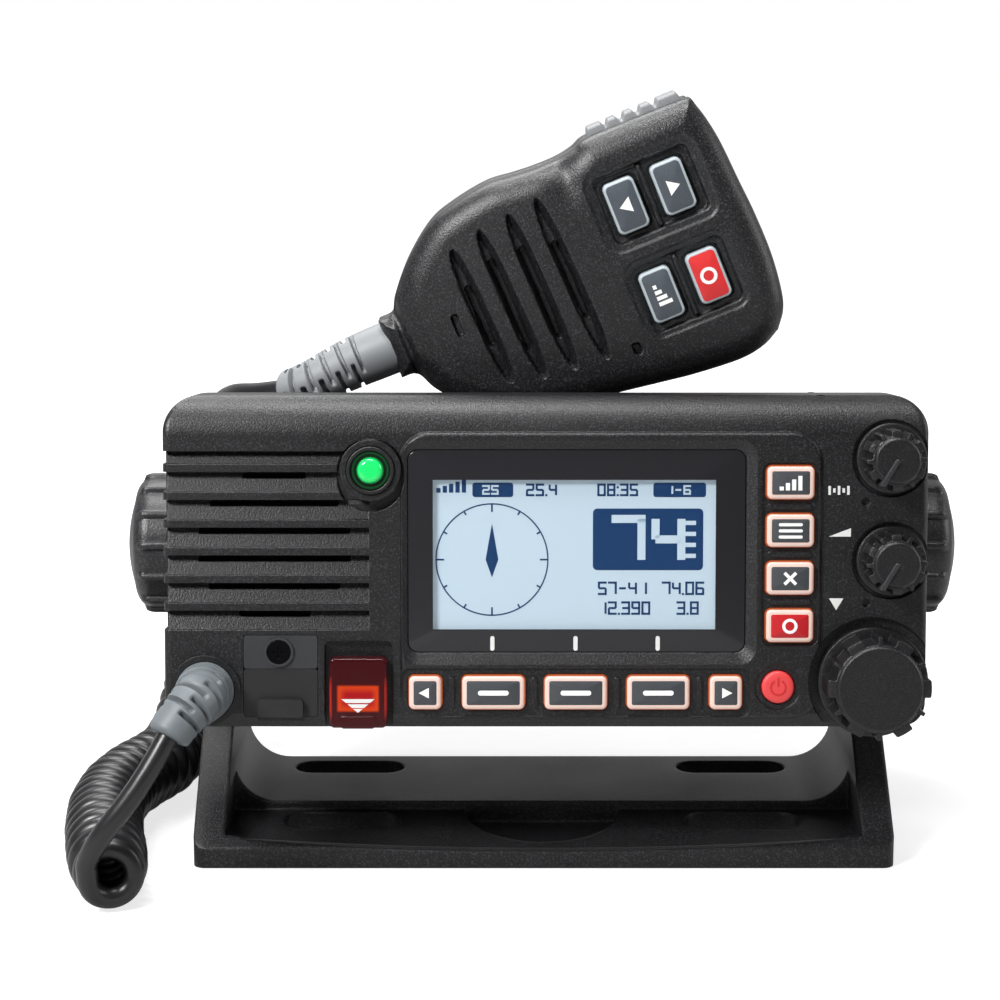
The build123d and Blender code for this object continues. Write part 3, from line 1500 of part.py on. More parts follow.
mic_boot_tip = Vector(*mic_boot_end)
tail_way = (Vector(*tail_points[-2]) - mic_boot_tip).normalized()
boot(
    "mic_boot",
    mic.origin - mic_along * seat_gap,
    -mic_along,
    mic_boot_tip,
    tail_way,
    mic_boot_neck_radius,
    mic_boot_middle_radius,
    mic_boot_end_radius,
    mic_boot_straight,
    mic_wall,
)


# ---------------------------------------------------------------- curly cord
def cord(name, points, diameter):
    """One stretch of the cord: straight runs joined by tangent arcs, each as large as its two runs
    allow. Its radii are printed."""
    corners = [Vector(*point) for point in points]
    radii = []
    for before, corner, after in zip(corners, corners[1:], corners[2:]):
        run_in = corner - before
        run_out = after - corner
        turn = run_in.get_angle(run_out)
        radii.append(cord_arc_share * min(run_in.length, run_out.length) / tan(radians(turn / 2)))
    with BuildPart() as tube:
        with BuildLine() as route:
            FilletPolyline(*corners, radius=radii)
        path = route.wire()
        with BuildSketch(Plane(origin=path @ 0, z_dir=path % 0)):
            Circle(diameter / 2)
        sweep(path=path)
    straight_volume = path.length * pi * diameter**2 / 4
    print(name, "length", round(path.length, 1), "radii", [round(radius, 1) for radius in radii])
    print(name, "volume over a straight tube's", round(tube.part.volume / straight_volume, 3))
    finish(tube.part, name)


cord("cord_lead", lead_points, cord_diameter)
cord("cord_coil", coil_points, coil_diameter)
cord("cord_tail", tail_points, cord_diameter)
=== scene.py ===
from math import cos, pi, radians, sin

import bmesh
import bpy
import numpy as np
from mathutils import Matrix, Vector


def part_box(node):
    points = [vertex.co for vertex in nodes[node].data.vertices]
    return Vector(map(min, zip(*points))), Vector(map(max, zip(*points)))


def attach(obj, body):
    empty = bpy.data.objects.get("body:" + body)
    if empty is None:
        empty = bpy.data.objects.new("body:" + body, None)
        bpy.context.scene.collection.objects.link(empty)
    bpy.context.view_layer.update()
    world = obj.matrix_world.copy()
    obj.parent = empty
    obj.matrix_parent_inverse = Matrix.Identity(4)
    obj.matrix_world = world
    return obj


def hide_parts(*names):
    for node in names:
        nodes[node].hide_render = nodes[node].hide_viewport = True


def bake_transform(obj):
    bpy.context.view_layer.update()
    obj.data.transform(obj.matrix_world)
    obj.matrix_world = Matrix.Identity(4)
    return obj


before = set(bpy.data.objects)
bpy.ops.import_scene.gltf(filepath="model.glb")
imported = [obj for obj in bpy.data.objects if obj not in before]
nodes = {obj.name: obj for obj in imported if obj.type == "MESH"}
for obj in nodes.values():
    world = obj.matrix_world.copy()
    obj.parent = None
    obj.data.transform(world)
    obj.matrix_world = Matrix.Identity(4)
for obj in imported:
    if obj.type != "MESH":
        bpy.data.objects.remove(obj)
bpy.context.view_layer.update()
millimetre = 0.001


# ---------------------------------------------------------------- studio
# The radio stands on a pale table in a white room. Soft boxes hang over it, to its left, to its
# right and high behind it, so the edges of the black casings catch a soft line.
class Wire:
    """One socket of a material's tree. Arithmetic on it adds Math nodes and gives a new wire."""

    def __init__(self, tree, socket):
        self.tree = tree
        self.socket = socket

    def math(self, operation, *values):
        node = self.tree.nodes.new("ShaderNodeMath")
        node.operation = operation
        for place, value in zip(node.inputs, (self, *values)):
            feed(self.tree, place, value)
        return Wire(self.tree, node.outputs[0])

    def __add__(self, other):
        return self.math("ADD", other)

    def __sub__(self, other):
        return self.math("SUBTRACT", other)

    def __rsub__(self, other):
        return self.math("MULTIPLY", -1.0).math("ADD", other)

    def __mul__(self, other):
        return self.math("MULTIPLY", other)

    def __truediv__(self, other):
        return self.math("DIVIDE", other)

    def __abs__(self):
        return self.math("ABSOLUTE")

    def most(self, other):
        return self.math("MAXIMUM", other)

    def under(self, edge, soft):
        """1 where the wire is under edge, 0 above it, with a ramp of width soft about the edge."""
        return self.math("SUBTRACT", edge).math("MULTIPLY", -1.0 / soft).math("ADD", 0.5).clamped()

    def clamped(self):
        wire = self.math("ADD", 0.0)
        wire.socket.node.use_clamp = True
        return wire

    __radd__ = __add__
    __rmul__ = __mul__


def feed(tree, place, value):
    """Links a socket to a wire, or gives it a plain value."""
    if isinstance(value, Wire):
        tree.links.new(value.socket, place)
    else:
        place.default_value = value


class Finish:
    """A material with one Principled shader, and the ways to feed its sockets."""

    def __init__(self, name, colour, roughness, **sockets):
        self.material = bpy.data.materials.new(name)
        self.material.use_nodes = True
        self.tree = self.material.node_tree
        self.shader = self.tree.nodes["Principled BSDF"]
        self.set("Base Color", (*colour, 1.0))
        self.set("Roughness", roughness)
        for socket, value in sockets.items():
            self.set(socket.replace("_", " "), value)

    def set(self, socket, value):
        feed(self.tree, self.shader.inputs[socket], value)

    def node(self, kind, settings=None, output=0, **values):
        """Any other node: its settings go in first, then the values or links of its sockets."""
        node = self.tree.nodes.new(kind)
        for key, value in (settings or {}).items():
            setattr(node, key, value)
        for key, value in values.items():
            feed(self.tree, node.inputs[int(key[1:]) if key[1:].isdigit() else key], value)
        return Wire(self.tree, node.outputs[output])

    def point(self):
        """The point on the piece, in metres, in the frame that the whole object shares."""
        return self.node("ShaderNodeTexCoord", output="Object")

    def along(self, origin, direction):
        """How far the point lies from origin in a direction, in millimetres."""
        kind, subtract, dot = "ShaderNodeVectorMath", {"operation": "SUBTRACT"}, {"operation": "DOT_PRODUCT"}
        offset = self.node(kind, subtract, i0=self.point(), i1=tuple(origin))
        return self.node(kind, dot, "Value", i0=offset, i1=tuple(1000.0 * part for part in direction))

    def noise(self, scale, detail=2.0):
        return self.node("ShaderNodeTexNoise", output="Fac", Vector=self.point(), Scale=scale, Detail=detail)

    def mix(self, share, first, second):
        """A colour between two others."""
        first, second = (wire if isinstance(wire, Wire) else (*wire, 1.0) for wire in (first, second))
        return self.node("ShaderNodeMix", {"data_type": "RGBA"}, output=2, i0=share, i6=first, i7=second)

    def vary(self, code, tint, tint_noise, roughness, spread, sheen_noise):
        """The colour drifts towards a tint of itself, and the roughness about its middle."""
        self.set("Base Color", self.mix(self.noise(*tint_noise), srgb(code), srgb(code, tint)))
        self.set("Roughness", self.noise(*sheen_noise) * spread + (roughness - spread / 2))

    def shine(self, share, code, power):
        """The piece glows in a colour, as strongly as share says at each point."""
        self.set("Emission Color", self.mix(share, (0.0, 0.0, 0.0), srgb(code, power)))
        self.set("Emission Strength", 1.0)

    def bump(self, height, depth_mm, soften_mm=0.0):
        """Raises the surface by depth where height is 1. Softening rounds the sharp edges of a solid."""
        values = {"Height": height, "Distance": depth_mm * millimetre, "Strength": 1.0}
        if soften_mm:
            values["Normal"] = self.node("ShaderNodeBevel", {"samples": 6}, Radius=soften_mm * millimetre)
        self.set("Normal", self.node("ShaderNodeBump", **values))


def srgb(code, share=1.0):
    """A colour written as six hex digits, in the linear light that shaders take, times a share."""
    parts = np.array([int(code[i : i + 2], 16) for i in (0, 2, 4)]) / 255
    linear = np.where(parts <= 0.04045, parts / 12.92, ((parts + 0.055) / 1.055) ** 2.4)
    return tuple(share * float(part) for part in linear)


def kinds_of_ray(tree):
    """Three wires: 1 for rays from the camera, for those from a sheen and for those through a window."""
    rays = tree.nodes.new("ShaderNodeLightPath")
    return [Wire(tree, rays.outputs[f"Is {kind} Ray"]) for kind in ("Camera", "Glossy", "Transmission")]


def room():
    """A white room: plain white where it is seen, and a soft even light where it is not. A sheen finds
    the white wall behind the radio, and a dim room in front of it."""
    world = bpy.data.worlds.new("room")
    world.use_nodes = True
    tree = world.node_tree
    direct, glossy, through = kinds_of_ray(tree)
    facing = tree.nodes.new("ShaderNodeSeparateXYZ")
    tree.links.new(tree.nodes.new("ShaderNodeTexCoord").outputs["Generated"], facing.inputs[0])
    behind = (Wire(tree, facing.outputs[1]) * 1.6 - 0.1).clamped()
    wall_in_sheen, even_light = 0.6, 0.14
    bright = direct.most(through).most(glossy * behind * wall_in_sheen)
    background = tree.nodes["Background"]
    background.inputs["Color"].default_value = (1, 1, 1, 1)
    feed(tree, background.inputs["Strength"], bright * (1 - even_light) + even_light)
    bpy.context.scene.world = world


def table():
    """A pale table top, which keeps the radio's shadow and runs out of sight. Where it is seen it
    glows, and more so far from the radio; a sheen finds a part of that, and nothing is lit by it."""
    grey, glow_near, fade_at, fade_over, in_sheen, reach = 0.42, 0.76, 0.40, 0.5, 0.15, 6.0
    finish = Finish("table_top", (grey,) * 3, 0.9, Specular_IOR_Level=0.0, Emission_Color=(1, 1, 1, 1))
    right, back = (finish.along((0, 0, 0), way) for way in ((0.001, 0, 0), (0, 0.001, 0)))
    far = (right * right + back * back).math("SQRT")
    camera, glossy, through = kinds_of_ray(finish.tree)
    seen = camera.most(glossy * in_sheen).most(through)
    glow = glow_near + (1 - glow_near) * (1 - far.under(fade_at, fade_over))
    finish.set("Emission Strength", seen * glow)
    corners = [(-reach, -reach, 0), (reach, -reach, 0), (reach, reach, 0), (-reach, reach, 0)]
    mesh = bpy.data.meshes.new("table_top")
    mesh.from_pydata(corners, [], [(0, 1, 2, 3)])
    mesh.materials.append(finish.material)
    top = bpy.data.objects.new("table_top", mesh)
    bpy.context.scene.collection.objects.link(top)
    top.location.z = -0.0002


def soft_box(name, place, aim, size, watts):
    light = bpy.data.lights.new(name, "AREA")
    light.shape = "RECTANGLE"
    light.size, light.size_y = size
    light.energy = watts
    lamp = bpy.data.objects.new(name, light)
    lamp.location = place
    lamp.rotation_euler = (Vector(aim) - Vector(place)).to_track_quat("-Z", "Y").to_euler()
    bpy.context.scene.collection.objects.link(lamp)


room()
table()
soft_box("overhead_box", (-0.08, -0.10, 0.85), (0.0, 0.0, 0.1), (0.55, 0.13), 5.5)
soft_box("left_box", (-0.58, -0.64, 0.70), (0.0, 0.0, 0.10), (0.30, 0.26), 13.0)
soft_box("right_box", (0.8, -0.05, 0.35), (0.0, 0.0, 0.08), (0.25, 0.5), 2.0)
soft_box("back_box", (-0.30, 0.52, 0.85), (0.0, 0.05, 0.08), (0.50, 0.25), 4.5)

view = bpy.data.cameras.new("viewpoint")
view.sensor_width = 36.0
view.lens = 91.8
view.clip_start = 0.01
eye = bpy.data.objects.new("viewpoint", view)
eye.location = (-0.0107, -0.63395, 0.2071)
eye.rotation_euler = (radians(79.0), 0.0, 0.0)
bpy.context.scene.collection.objects.link(eye)
bpy.context.scene.camera = eye
bpy.context.scene.view_settings.view_transform = "Standard"


# ---------------------------------------------------------------- curly cord
# A black rubber cord, wound tight over a rod so that it springs back. A short straight lead comes
# down from the panel and turns straight into the first loop; the coil runs back along the table
# beside the bracket, climbs behind the panel, and a straight tail goes over to the microphone.
cord_diameter = 0.0051
lead_points = [
    (-0.0870, -0.0700, 0.0420),
    (-0.0905, -0.0728, 0.0357),
    (-0.0962, -0.0752, 0.0275),
    (-0.1020, -0.0762, 0.0205),
]
coil_points = [
    (-0.1008, -0.0710, 0.0084),
    (-0.1050, -0.0520, 0.0100),
    (-0.1085, -0.0315, 0.0102),
    (-0.1090, -0.0110, 0.0102),
    (-0.1045, 0.0055, 0.0102),
    (-0.0982, 0.0195, 0.0104),
    (-0.0955, 0.0380, 0.0138),
    (-0.0928, 0.0560, 0.0290),
    (-0.0905, 0.0635, 0.0470),
    (-0.0880, 0.0600, 0.0660),
    (-0.0880, 0.0550, 0.0810),
]
tail_points = [
    (-0.0880, 0.0550, 0.0810),
    (-0.0880, 0.0507, 0.0939),
    (-0.0870, 0.0395, 0.1005),
    (-0.0835, 0.0255, 0.1055),
    (-0.0785, 0.0115, 0.1096),
    (-0.0715, 0.0045, 0.1105),
    (-0.0645, 0.0000, 0.1122),
]


def smooth_line(name, points, steps):
    """The points of the smooth NURBS line that has the given control points, in order."""
    curve = bpy.data.curves.new(name, "CURVE")
    curve.dimensions = "3D"
    spline = curve.splines.new("NURBS")
    spline.points.add(len(points) - 1)
    spline.points.foreach_set("co", np.c_[np.array(points), np.ones(len(points))].ravel())
    spline.order_u = 3
    spline.use_endpoint_u = True
    spline.resolution_u = steps
    holder = bpy.data.objects.new(name, curve)
    mesh = bpy.data.meshes.new_from_object(holder)
    line = np.zeros(len(mesh.vertices) * 3)
    mesh.vertices.foreach_get("co", line)
    bpy.data.objects.remove(holder)
    bpy.data.curves.remove(curve)
    bpy.data.meshes.remove(mesh)
    return line.reshape(-1, 3)


def unit(rows):
    return rows / np.linalg.norm(rows, axis=-1, keepdims=True)


def gaps(line):
    """The distance from each point of a line to the next."""
    return np.linalg.norm(np.diff(line, axis=0), axis=1)


def evenly(line, step):
    """The same line with its points a step apart."""
    far = np.r_[0, np.cumsum(gaps(line))]
    at = np.linspace(0, far[-1], max(2, round(far[-1] / step) + 1))
    return np.stack([np.interp(at, far, line[:, i]) for i in range(3)], axis=1)


def sideways(line):
    """Two directions across the line at each point, carried along it without twisting."""
    ahead = unit(np.gradient(line, axis=0))
    first = unit(np.cross(ahead[0], (0.3, 0.2, 1.0)))
    across = [first]
    for way in ahead[1:]:
        across.append(unit(across[-1] - way * (across[-1] @ way)))
    across = np.array(across)
    return across, np.cross(ahead, across)


def piece_of(name, points, faces, finish, sharp=None, weld=0.0):
    """A piece whose faces all look outwards. Points closer than the weld become one. Edges sharper
    than the angle stay crisp, and without an angle every face is flat."""
    mesh = bpy.data.meshes.new(name)
    mesh.from_pydata(points.tolist(), [], faces)
    form = bmesh.new()
    form.from_mesh(mesh)
    if weld:
        bmesh.ops.remove_doubles(form, verts=form.verts, dist=weld)
    bmesh.ops.recalc_face_normals(form, faces=form.faces)
    form.to_mesh(mesh)
    form.free()
    if sharp:
        mesh.polygons.foreach_set("use_smooth", np.ones(len(mesh.polygons), bool))
        mesh.set_sharp_from_angle(angle=radians(sharp))
    mesh.materials.append(finish.material)
    piece = bpy.data.objects.new(name, mesh)
    bpy.context.scene.collection.objects.link(piece)
    return piece


def skin(name, rings, finish, sharp=40.0):
    """A closed surface through rings of points, rings[i, j] being point j of ring i. The first and
    the last ring are closed with a fan about their middles."""
    rings = np.asarray(rings, float)
    count, around = rings.shape[:2]
    i, j = np.meshgrid(np.arange(count - 1), np.arange(around), indexing="ij")
    start, after = i * around, (j + 1) % around
    quads = np.stack([start + j, start + after, start + around + after, start + around + j], axis=-1)
    faces = quads.reshape(-1, 4).tolist()
    edge = np.arange(around)
    for middle, start in ((count * around, 0), (count * around + 1, (count - 1) * around)):
        fan = [edge + start, np.full(around, middle), (edge + 1) % around + start]
        faces += np.stack(fan, axis=1).tolist()
    middles = rings[[0, -1]].mean(axis=1)
    return piece_of(name, np.concatenate([rings.reshape(-1, 3), middles]), faces, finish, sharp, weld=2e-7)


def tube(name, line, radius, finish, sides=20):
    """A round tube about a line: each ring is the line's point plus a circle across the line."""
    across, up = sideways(line)
    turn = np.linspace(0, 2 * pi, sides, endpoint=False)
    circle = across[:, None] * np.cos(turn)[None, :, None] + up[:, None] * np.sin(turn)[None, :, None]
    return skin(name, line[:, None] + circle * radius, finish)


def wound(axis_line, pitch, radius, narrow_radius, narrow_end, start_turn):
    """Points of a helix about the axis line: the line's point plus its two cross directions times the
    cosine and sine of an angle that grows with the length travelled. The first loop is narrower,
    and so is the last."""
    per_turn, loops_to_widen, loops_to_close = 16, 2.2, 1.5
    fine = evenly(axis_line, pitch / per_turn)
    travelled = np.arange(len(fine)) / per_turn
    left = np.array([-1.0, 0.0, 0.0])
    ahead = unit(np.gradient(fine, axis=0))
    down = unit(np.cross(left, ahead))
    left = np.cross(ahead, down)
    angle = 2 * pi * travelled + start_turn
    total = travelled[-1]
    swell = np.clip(travelled / loops_to_widen, 0, 1)
    close = np.clip((total - travelled) / loops_to_close, 0, 1)
    reach = narrow_radius + (radius - narrow_radius) * swell * swell * (3 - 2 * swell)
    reach = narrow_end + (reach - narrow_end) * close * close * (3 - 2 * close)
    wave = 1 + 0.012 * np.sin(travelled * 2.3) + 0.008 * np.sin(travelled * 5.1)
    return fine + (left * np.cos(angle)[:, None] + down * np.sin(angle)[:, None]) * (reach * wave)[:, None]


def rubber(name, code, grain_mm=0.5, depth_mm=0.012, roughness=0.5):
    """Moulded rubber: a faint uneven sheen and a very fine skin."""
    finish = Finish(name, srgb(code), roughness)
    finish.vary(code, 0.82, (60.0,), roughness, 0.16, (180.0, 3.0))
    finish.bump(finish.noise(1000.0 / grain_mm, 1.0), depth_mm)
    return finish


cord_rubber = rubber("cord_rubber", "1a1a1c", 0.8, 0.006, 0.34)
coil_line = smooth_line("coil_route", coil_points, 24)
helix = wound(
    coil_line, pitch=0.00515, radius=0.00715, narrow_radius=0.0054, narrow_end=0.0030, start_turn=radians(-8)
)
entry = helix[0]
slope = unit(helix[1] - helix[0])
run_in = 0.0042
run_in_points = [tuple(entry - slope * run_in), tuple(entry - slope * run_in / 2)]
lead_route = lead_points + run_in_points + [tuple(point) for point in helix]
lead_line = smooth_line("lead_route", lead_route, 3)
tail_line = evenly(smooth_line("tail_route", tail_points, 24), 0.0012)


lead_and_coil = tube("lead_and_coil", lead_line, cord_diameter / 2, cord_rubber, 14)
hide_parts("cord_lead", "cord_coil")
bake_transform(lead_and_coil)
straight_tail = tube("straight_tail", tail_line, cord_diameter / 2, cord_rubber, 18)
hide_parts("cord_tail")
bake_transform(straight_tail)


# ---------------------------------------------------------------- bracket
# The mounting bracket is a thick U moulded in black glass-filled nylon, with four slots for the
# mounting screws. Its skin is spark-eroded; two rubber washers lie between its arms and the case.
def moulded(name, code, roughness=0.44, grain_mm=0.42, depth_mm=0.03, soften_mm=0.35, glint_contrast=0.9):
    """Moulded plastic: round grains raise the skin, the highest are painted pale as glints of light
    on them, and the sheen drifts a little over the piece."""
    finish = Finish(name, srgb(code), roughness)
    grain, glint_above, crispness = finish.noise(1000.0 / grain_mm, 1.0), 0.52, 6.0
    # Painted highlight: the highest grains get a paler base colour, as glints of light on them, and the rest
    # a darker one.
    painted_glints = ((grain - glint_above) * crispness).clamped()
    dark, light = srgb(code, 1 - 0.5 * glint_contrast), srgb(code, 1 + 6.5 * glint_contrast)
    finish.set("Base Color", finish.mix(painted_glints, dark, light))
    finish.set("Roughness", finish.noise(40.0, 3.0) * 0.14 + (grain * 0.1 + (roughness - 0.12)))
    finish.bump(grain, depth_mm, soften_mm)
    return finish


def dress(finish, *names):
    """Gives solids that show as they are their finish."""
    for name in names:
        for place in nodes[name].material_slots:
            place.material = finish.material


dress(moulded("bracket_nylon", "111113", 0.42, 0.42, 0.10, 1.3, 0.7), "bracket")
dress(rubber("washer_rubber", "161617", 0.6, 0.01, 0.62), "bracket_washers")


# ---------------------------------------------------------------- clamp knobs
# Two knobs screw the bracket's arms against the case. Each is a hard rubber-coated moulding with a
# low dome outside and thirteen ribs with round ends along its rim, on a steel stud.
def steps(value, edge, soft):
    """0 well below the edge and 1 well above it, with a smooth S between."""
    ramp = np.clip((value - edge) / soft + 0.5, 0, 1)
    return ramp * ramp * (3 - 2 * ramp)


def spaced(corners, gap):
    """A line through the corners, with points about a gap apart on its straight stretches."""
    corners = np.asarray(corners, float)
    stretches = [corners[:1]]
    for start, end in zip(corners, corners[1:]):
        count = max(1, round(float(np.linalg.norm(end - start)) / gap))
        stretches.append(start + (end - start) * np.linspace(0, 1, count + 1)[1:, None])
    return np.concatenate(stretches)


def clamp_knob(name, side):
    """Rings about the stud's axis. A profile gives each ring's radius and its distance out from the
    arm, and ribs raise it where the point lies near one of their middle lines."""
    thickness, radius, corner, dome_rise, tip = 19.5, 16.9, 4.2, 2.3, 0.4
    ribs, rib_height, rib_half_width, first_rib = 13, 1.1, 0.95, 0.09
    flat, shoulder = radius - corner, thickness - dome_rise - corner
    bend = np.linspace(0, pi / 2, 10)
    rim = spaced([(radius, 0.8), (radius, shoulder)], 0.35)
    arc = np.c_[flat + corner * np.cos(bend), shoulder + corner * np.sin(bend)]
    reach = np.linspace(flat, tip, 16)
    dome = np.c_[reach, thickness - dome_rise * (reach / flat) ** 2]
    foot = [(tip, 0.0), (8.0, 0.0), (radius - 1.2, 0.0), (radius - 0.35, 0.25)]
    profile = np.concatenate([foot, rim, arc[1:], dome[1:]])
    turn = np.linspace(0, 2 * pi, 312, endpoint=False)[None, :]
    out, wide = profile[:, 1:2], profile[:, :1]
    pitch = 2 * pi / ribs
    across = (np.mod(turn - first_rib + pitch / 2, pitch) - pitch / 2) * radius
    past = np.maximum(out - (thickness - corner - 0.8), 0) + np.maximum(1.6 - out, 0)
    raised = 1 - steps(np.hypot(across, past), rib_half_width, 0.6)
    reach = wide + rib_height * raised * (wide > flat + 1)
    low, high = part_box(name)
    _, y, z = (np.array(low) + np.array(high)) / 2 * 1000
    inner = (low[0] if side > 0 else high[0]) * 1000
    x = np.broadcast_to(inner + side * out, reach.shape)
    rings = np.stack([x, y + reach * np.cos(turn), z + reach * np.sin(turn)], -1) * millimetre
    return skin(name.replace("clamp_knob", "ribbed_clamp"), rings, clamp_plastic, sharp=50)


def fit(piece, body, slot, *stands_for):
    """The piece moves with a body, and may stand for plainer solids. Its slot is not used."""
    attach(piece, body)
    if stands_for:
        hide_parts(*stands_for)
    return piece


clamp_plastic = moulded("clamp_plastic", "1d1d1f", 0.38, 0.40, 0.07, 0.0, 0.4)
for side, hand in ((-1, "left"), (1, "right")):
    fit(clamp_knob("clamp_knob_" + hand, side), hand + "_clamp", "clamp_plastic", "clamp_knob_" + hand)


def turned(name, code, roughness=0.3):
    """Turned or plated metal: faint rings from the tool, and a sheen that is a little uneven."""
    ring_mm, depth_mm, soften_mm = 0.35, 0.004, 0.15
    finish = Finish(name, srgb(code), roughness, Metallic=1.0)
    finish.vary(code, 0.75, (25.0,), roughness, 0.2, (300.0, 2.0))
    finish.bump(finish.noise(1000.0 / ring_mm, 0.0), depth_mm, soften_mm)
    return finish


dress(turned("steel", "a9a9a6"), "clamp_stud_left", "clamp_stud_right")
dress(turned("insert_brass", "b08a4a", 0.35), "pivot_inserts")


# ---------------------------------------------------------------- case
# The rear case is die-cast aluminium with cooling fins, painted in black powder that leaves an
# orange-peel skin. Plated screws hold the panel to it through a rubber gasket.
def painted_cast(name, code):
    """Powder paint on a casting: a coarse soft ripple under a fine one."""
    finish = Finish(name, srgb(code), 0.48)
    finish.vary(code, 1.5, (30.0, 4.0), 0.48, 0.2, (200.0, 2.0))
    finish.bump(finish.noise(1100.0, 2.0) * 0.7 + finish.noise(350.0, 2.0) * 0.3, 0.06, 0.5)
    return finish


dress(painted_cast("case_paint", "19191a"), "chassis")
dress(rubber("gasket_rubber", "101011", 0.6, 0.01, 0.6), "panel_gasket")
dress(turned("plated_metal", "bdbcb6", 0.22), "chassis_screws", "antenna_socket")
gland_plastic = moulded("gland_plastic", "151516", 0.5, 0.4, 0.02, 0.25)
dress(gland_plastic, "power_gland", "data_socket", "data_port")


# ---------------------------------------------------------------- front panel
# The panel is one moulding in black plastic with a fine spark-eroded skin: the leaning brow, the
# raised island around the display and keys, the loudspeaker's slats and the knobs' pockets.
dress(moulded("panel_plastic", "0c0c0e", 0.42, 0.40, 0.07, 0.45, 0.85), "front_panel")


# ---------------------------------------------------------------- loudspeaker and inner parts
# Behind the slats sits a small loudspeaker: a pressed steel frame with a black paper cone. The
# boards, the potentiometers and the shafts fill the case and barely show.
dress(turned("speaker_steel", "3a3b3c", 0.45), "speaker_frame")
dress(rubber("cone_paper", "0c0c0d", 0.9, 0.03, 0.85), "speaker_cone")
dress(rubber("board_lacquer", "1d3a2a", 0.7, 0.01, 0.35), "key_board", "main_board", "mic_board")
dress(turned("shaft_metal", "8f8f8c", 0.3), "squelch_shaft", "volume_shaft", "channel_shaft", "control_pots")


# ---------------------------------------------------------------- microphone lead's outlet
# The lead leaves the panel low at the left through a ring, in a boot of grey rubber. Rows of short
# slots are moulded into the boot, each row turned a quarter from the last, so that it bends.
lean = radians(6.5)
panel_place = np.array((0.0, -0.0477309, 0.0780815))
panel_right = np.array((1.0, 0.0, 0.0))
panel_up = np.array((0.0, sin(lean), cos(lean)))
panel_out = np.array((0.0, -cos(lean), sin(lean)))


def placed(origin, ways, lengths):
    """Points in the shared frame from an origin and millimetres along three ways."""
    parts = np.broadcast_arrays(*(np.asarray(length, float) for length in lengths))
    return origin + millimetre * sum(part[..., None] * way for part, way in zip(parts, ways))


def on_panel(x, y, z):
    """Points to the right of the panel's middle, up and out of its face."""
    return placed(panel_place, (panel_right, panel_up, panel_out), (x, y, z))


def bent_line(start, way_out, end, way_in, straight):
    """A straight stretch, then a cubic curve to the end: the usual blend of four control points."""
    start, way_out, end = (np.array(v, float) for v in (start, way_out, end))
    way_in = unit(np.array(way_in, float))
    from_here = start + way_out * straight
    reach = np.linalg.norm(end - from_here) * 0.36
    controls = zip((1, 3, 3, 1), (from_here, from_here + way_out * reach, end - way_in * reach, end))
    t = np.linspace(0, 1, 90)[:, None]
    curve = sum(weight * (1 - t) ** (3 - i) * t**i * point for i, (weight, point) in enumerate(controls))
    first = start + way_out * np.linspace(0, straight, 12)[:-1, None]
    return evenly(np.concatenate([first, curve]), 0.00022)


def ribbed_boot(name, line, radii, finish, first_slot, pitch, slot_width, collar):
    """Rings along a line. Each slot lowers the ring's radius by a smooth notch along the line, times
    a mask round it: two arcs, and the next row's arcs lie between them. The end is rounded."""
    rounding, slot_depth, mask_turn = 1.3, 1.7, 0.35
    across, up = (way[:, None] for way in sideways(line))
    far = np.r_[0, np.cumsum(gaps(line))][:, None] * 1000
    total = far[-1, 0]
    wide = np.interp(far, np.linspace(0, total, len(radii)), radii)
    turn = np.linspace(0, 2 * pi, 120, endpoint=False)[None, :]
    row = np.floor((far - first_slot) / pitch)
    along = np.abs((far - first_slot) - (row + 0.5) * pitch)
    notch = (1 - steps(along, slot_width / 2, 0.3)) * (far > first_slot) * (far < total - collar)
    cut = notch * steps(np.cos(2 * (turn - mask_turn) + pi * np.mod(row, 2)), -0.35, 0.35)
    near_end = 1 - np.clip((total - far) / rounding, 0, 1)
    ends = rounding * (1 - np.sqrt(1 - near_end**2))
    reach = (wide - ends - slot_depth * cut) * millimetre
    beside, above = (np.cos(turn) * reach)[..., None], (np.sin(turn) * reach)[..., None]
    return skin(name, line[:, None] + across * beside + up * above, finish, sharp=60)


grey_rubber = rubber("grey_rubber", "6b7175", 0.4)
boot_line = bent_line((-0.0803, -0.05215, 0.04809), panel_out, lead_points[0], (-6, -5, -10.5), 0.009)
panel_boot = ribbed_boot(
    "slotted_boot", boot_line, (6.9, 6.7, 6.4, 5.9, 5.3, 5.1), grey_rubber, 1.2, 1.6, 0.7, 4.4
)
fit(panel_boot, "radio", "grey_rubber", "panel_boot")
knob_plastic = moulded("knob_plastic", "0d0d0f", 0.40, 0.32, 0.08, 0.25, 0.4)
dress(knob_plastic, "outlet_ring")


# ---------------------------------------------------------------- port cover
# A soft rubber cover closes the data port: a fixed part under its screw and a flap with a finger
# tab, joined by a fold.
dress(rubber("cover_rubber", "2b2c2e"), "port_cover")
dress(rubber("flap_rubber", "141415", roughness=0.55), "port_flap")
dress(turned("port_screw_black", "1d1d1f", 0.32), "port_screw")


# ---------------------------------------------------------------- signal lamp
# A green lens with a raised dome glows in a black rubber bezel; the rim of the lens is dark green
# because the light comes from behind its middle.
def off_spot(finish, x, y):
    """How far a point lies beside a spot on the panel, and above or below it, in millimetres."""
    spot = on_panel(x, y, 0.0)
    return (abs(finish.along(spot, way)) for way in (panel_right, panel_up))


def glowing_lens(name, x, y, core_mm, deep, bright, power):
    """A lit lens: bright inside the core's radius and deep outside it."""
    finish = Finish(name, srgb(deep), 0.12, Coat_Weight=0.5)
    right, up = off_spot(finish, x, y)
    far = (right * right + up * up).math("SQRT")
    inside = far.under(core_mm, 0.5)
    rim = far.under(core_mm + 1.25, 0.3) * (1 - far.under(core_mm + 0.95, 0.3))
    finish.set("Base Color", finish.mix(inside, srgb(deep), srgb(bright)))
    glow = (inside + rim * 0.25).clamped() * (1 - far.under(core_mm * 0.8, core_mm) * 0.25)
    finish.shine(glow, bright, power)
    return finish


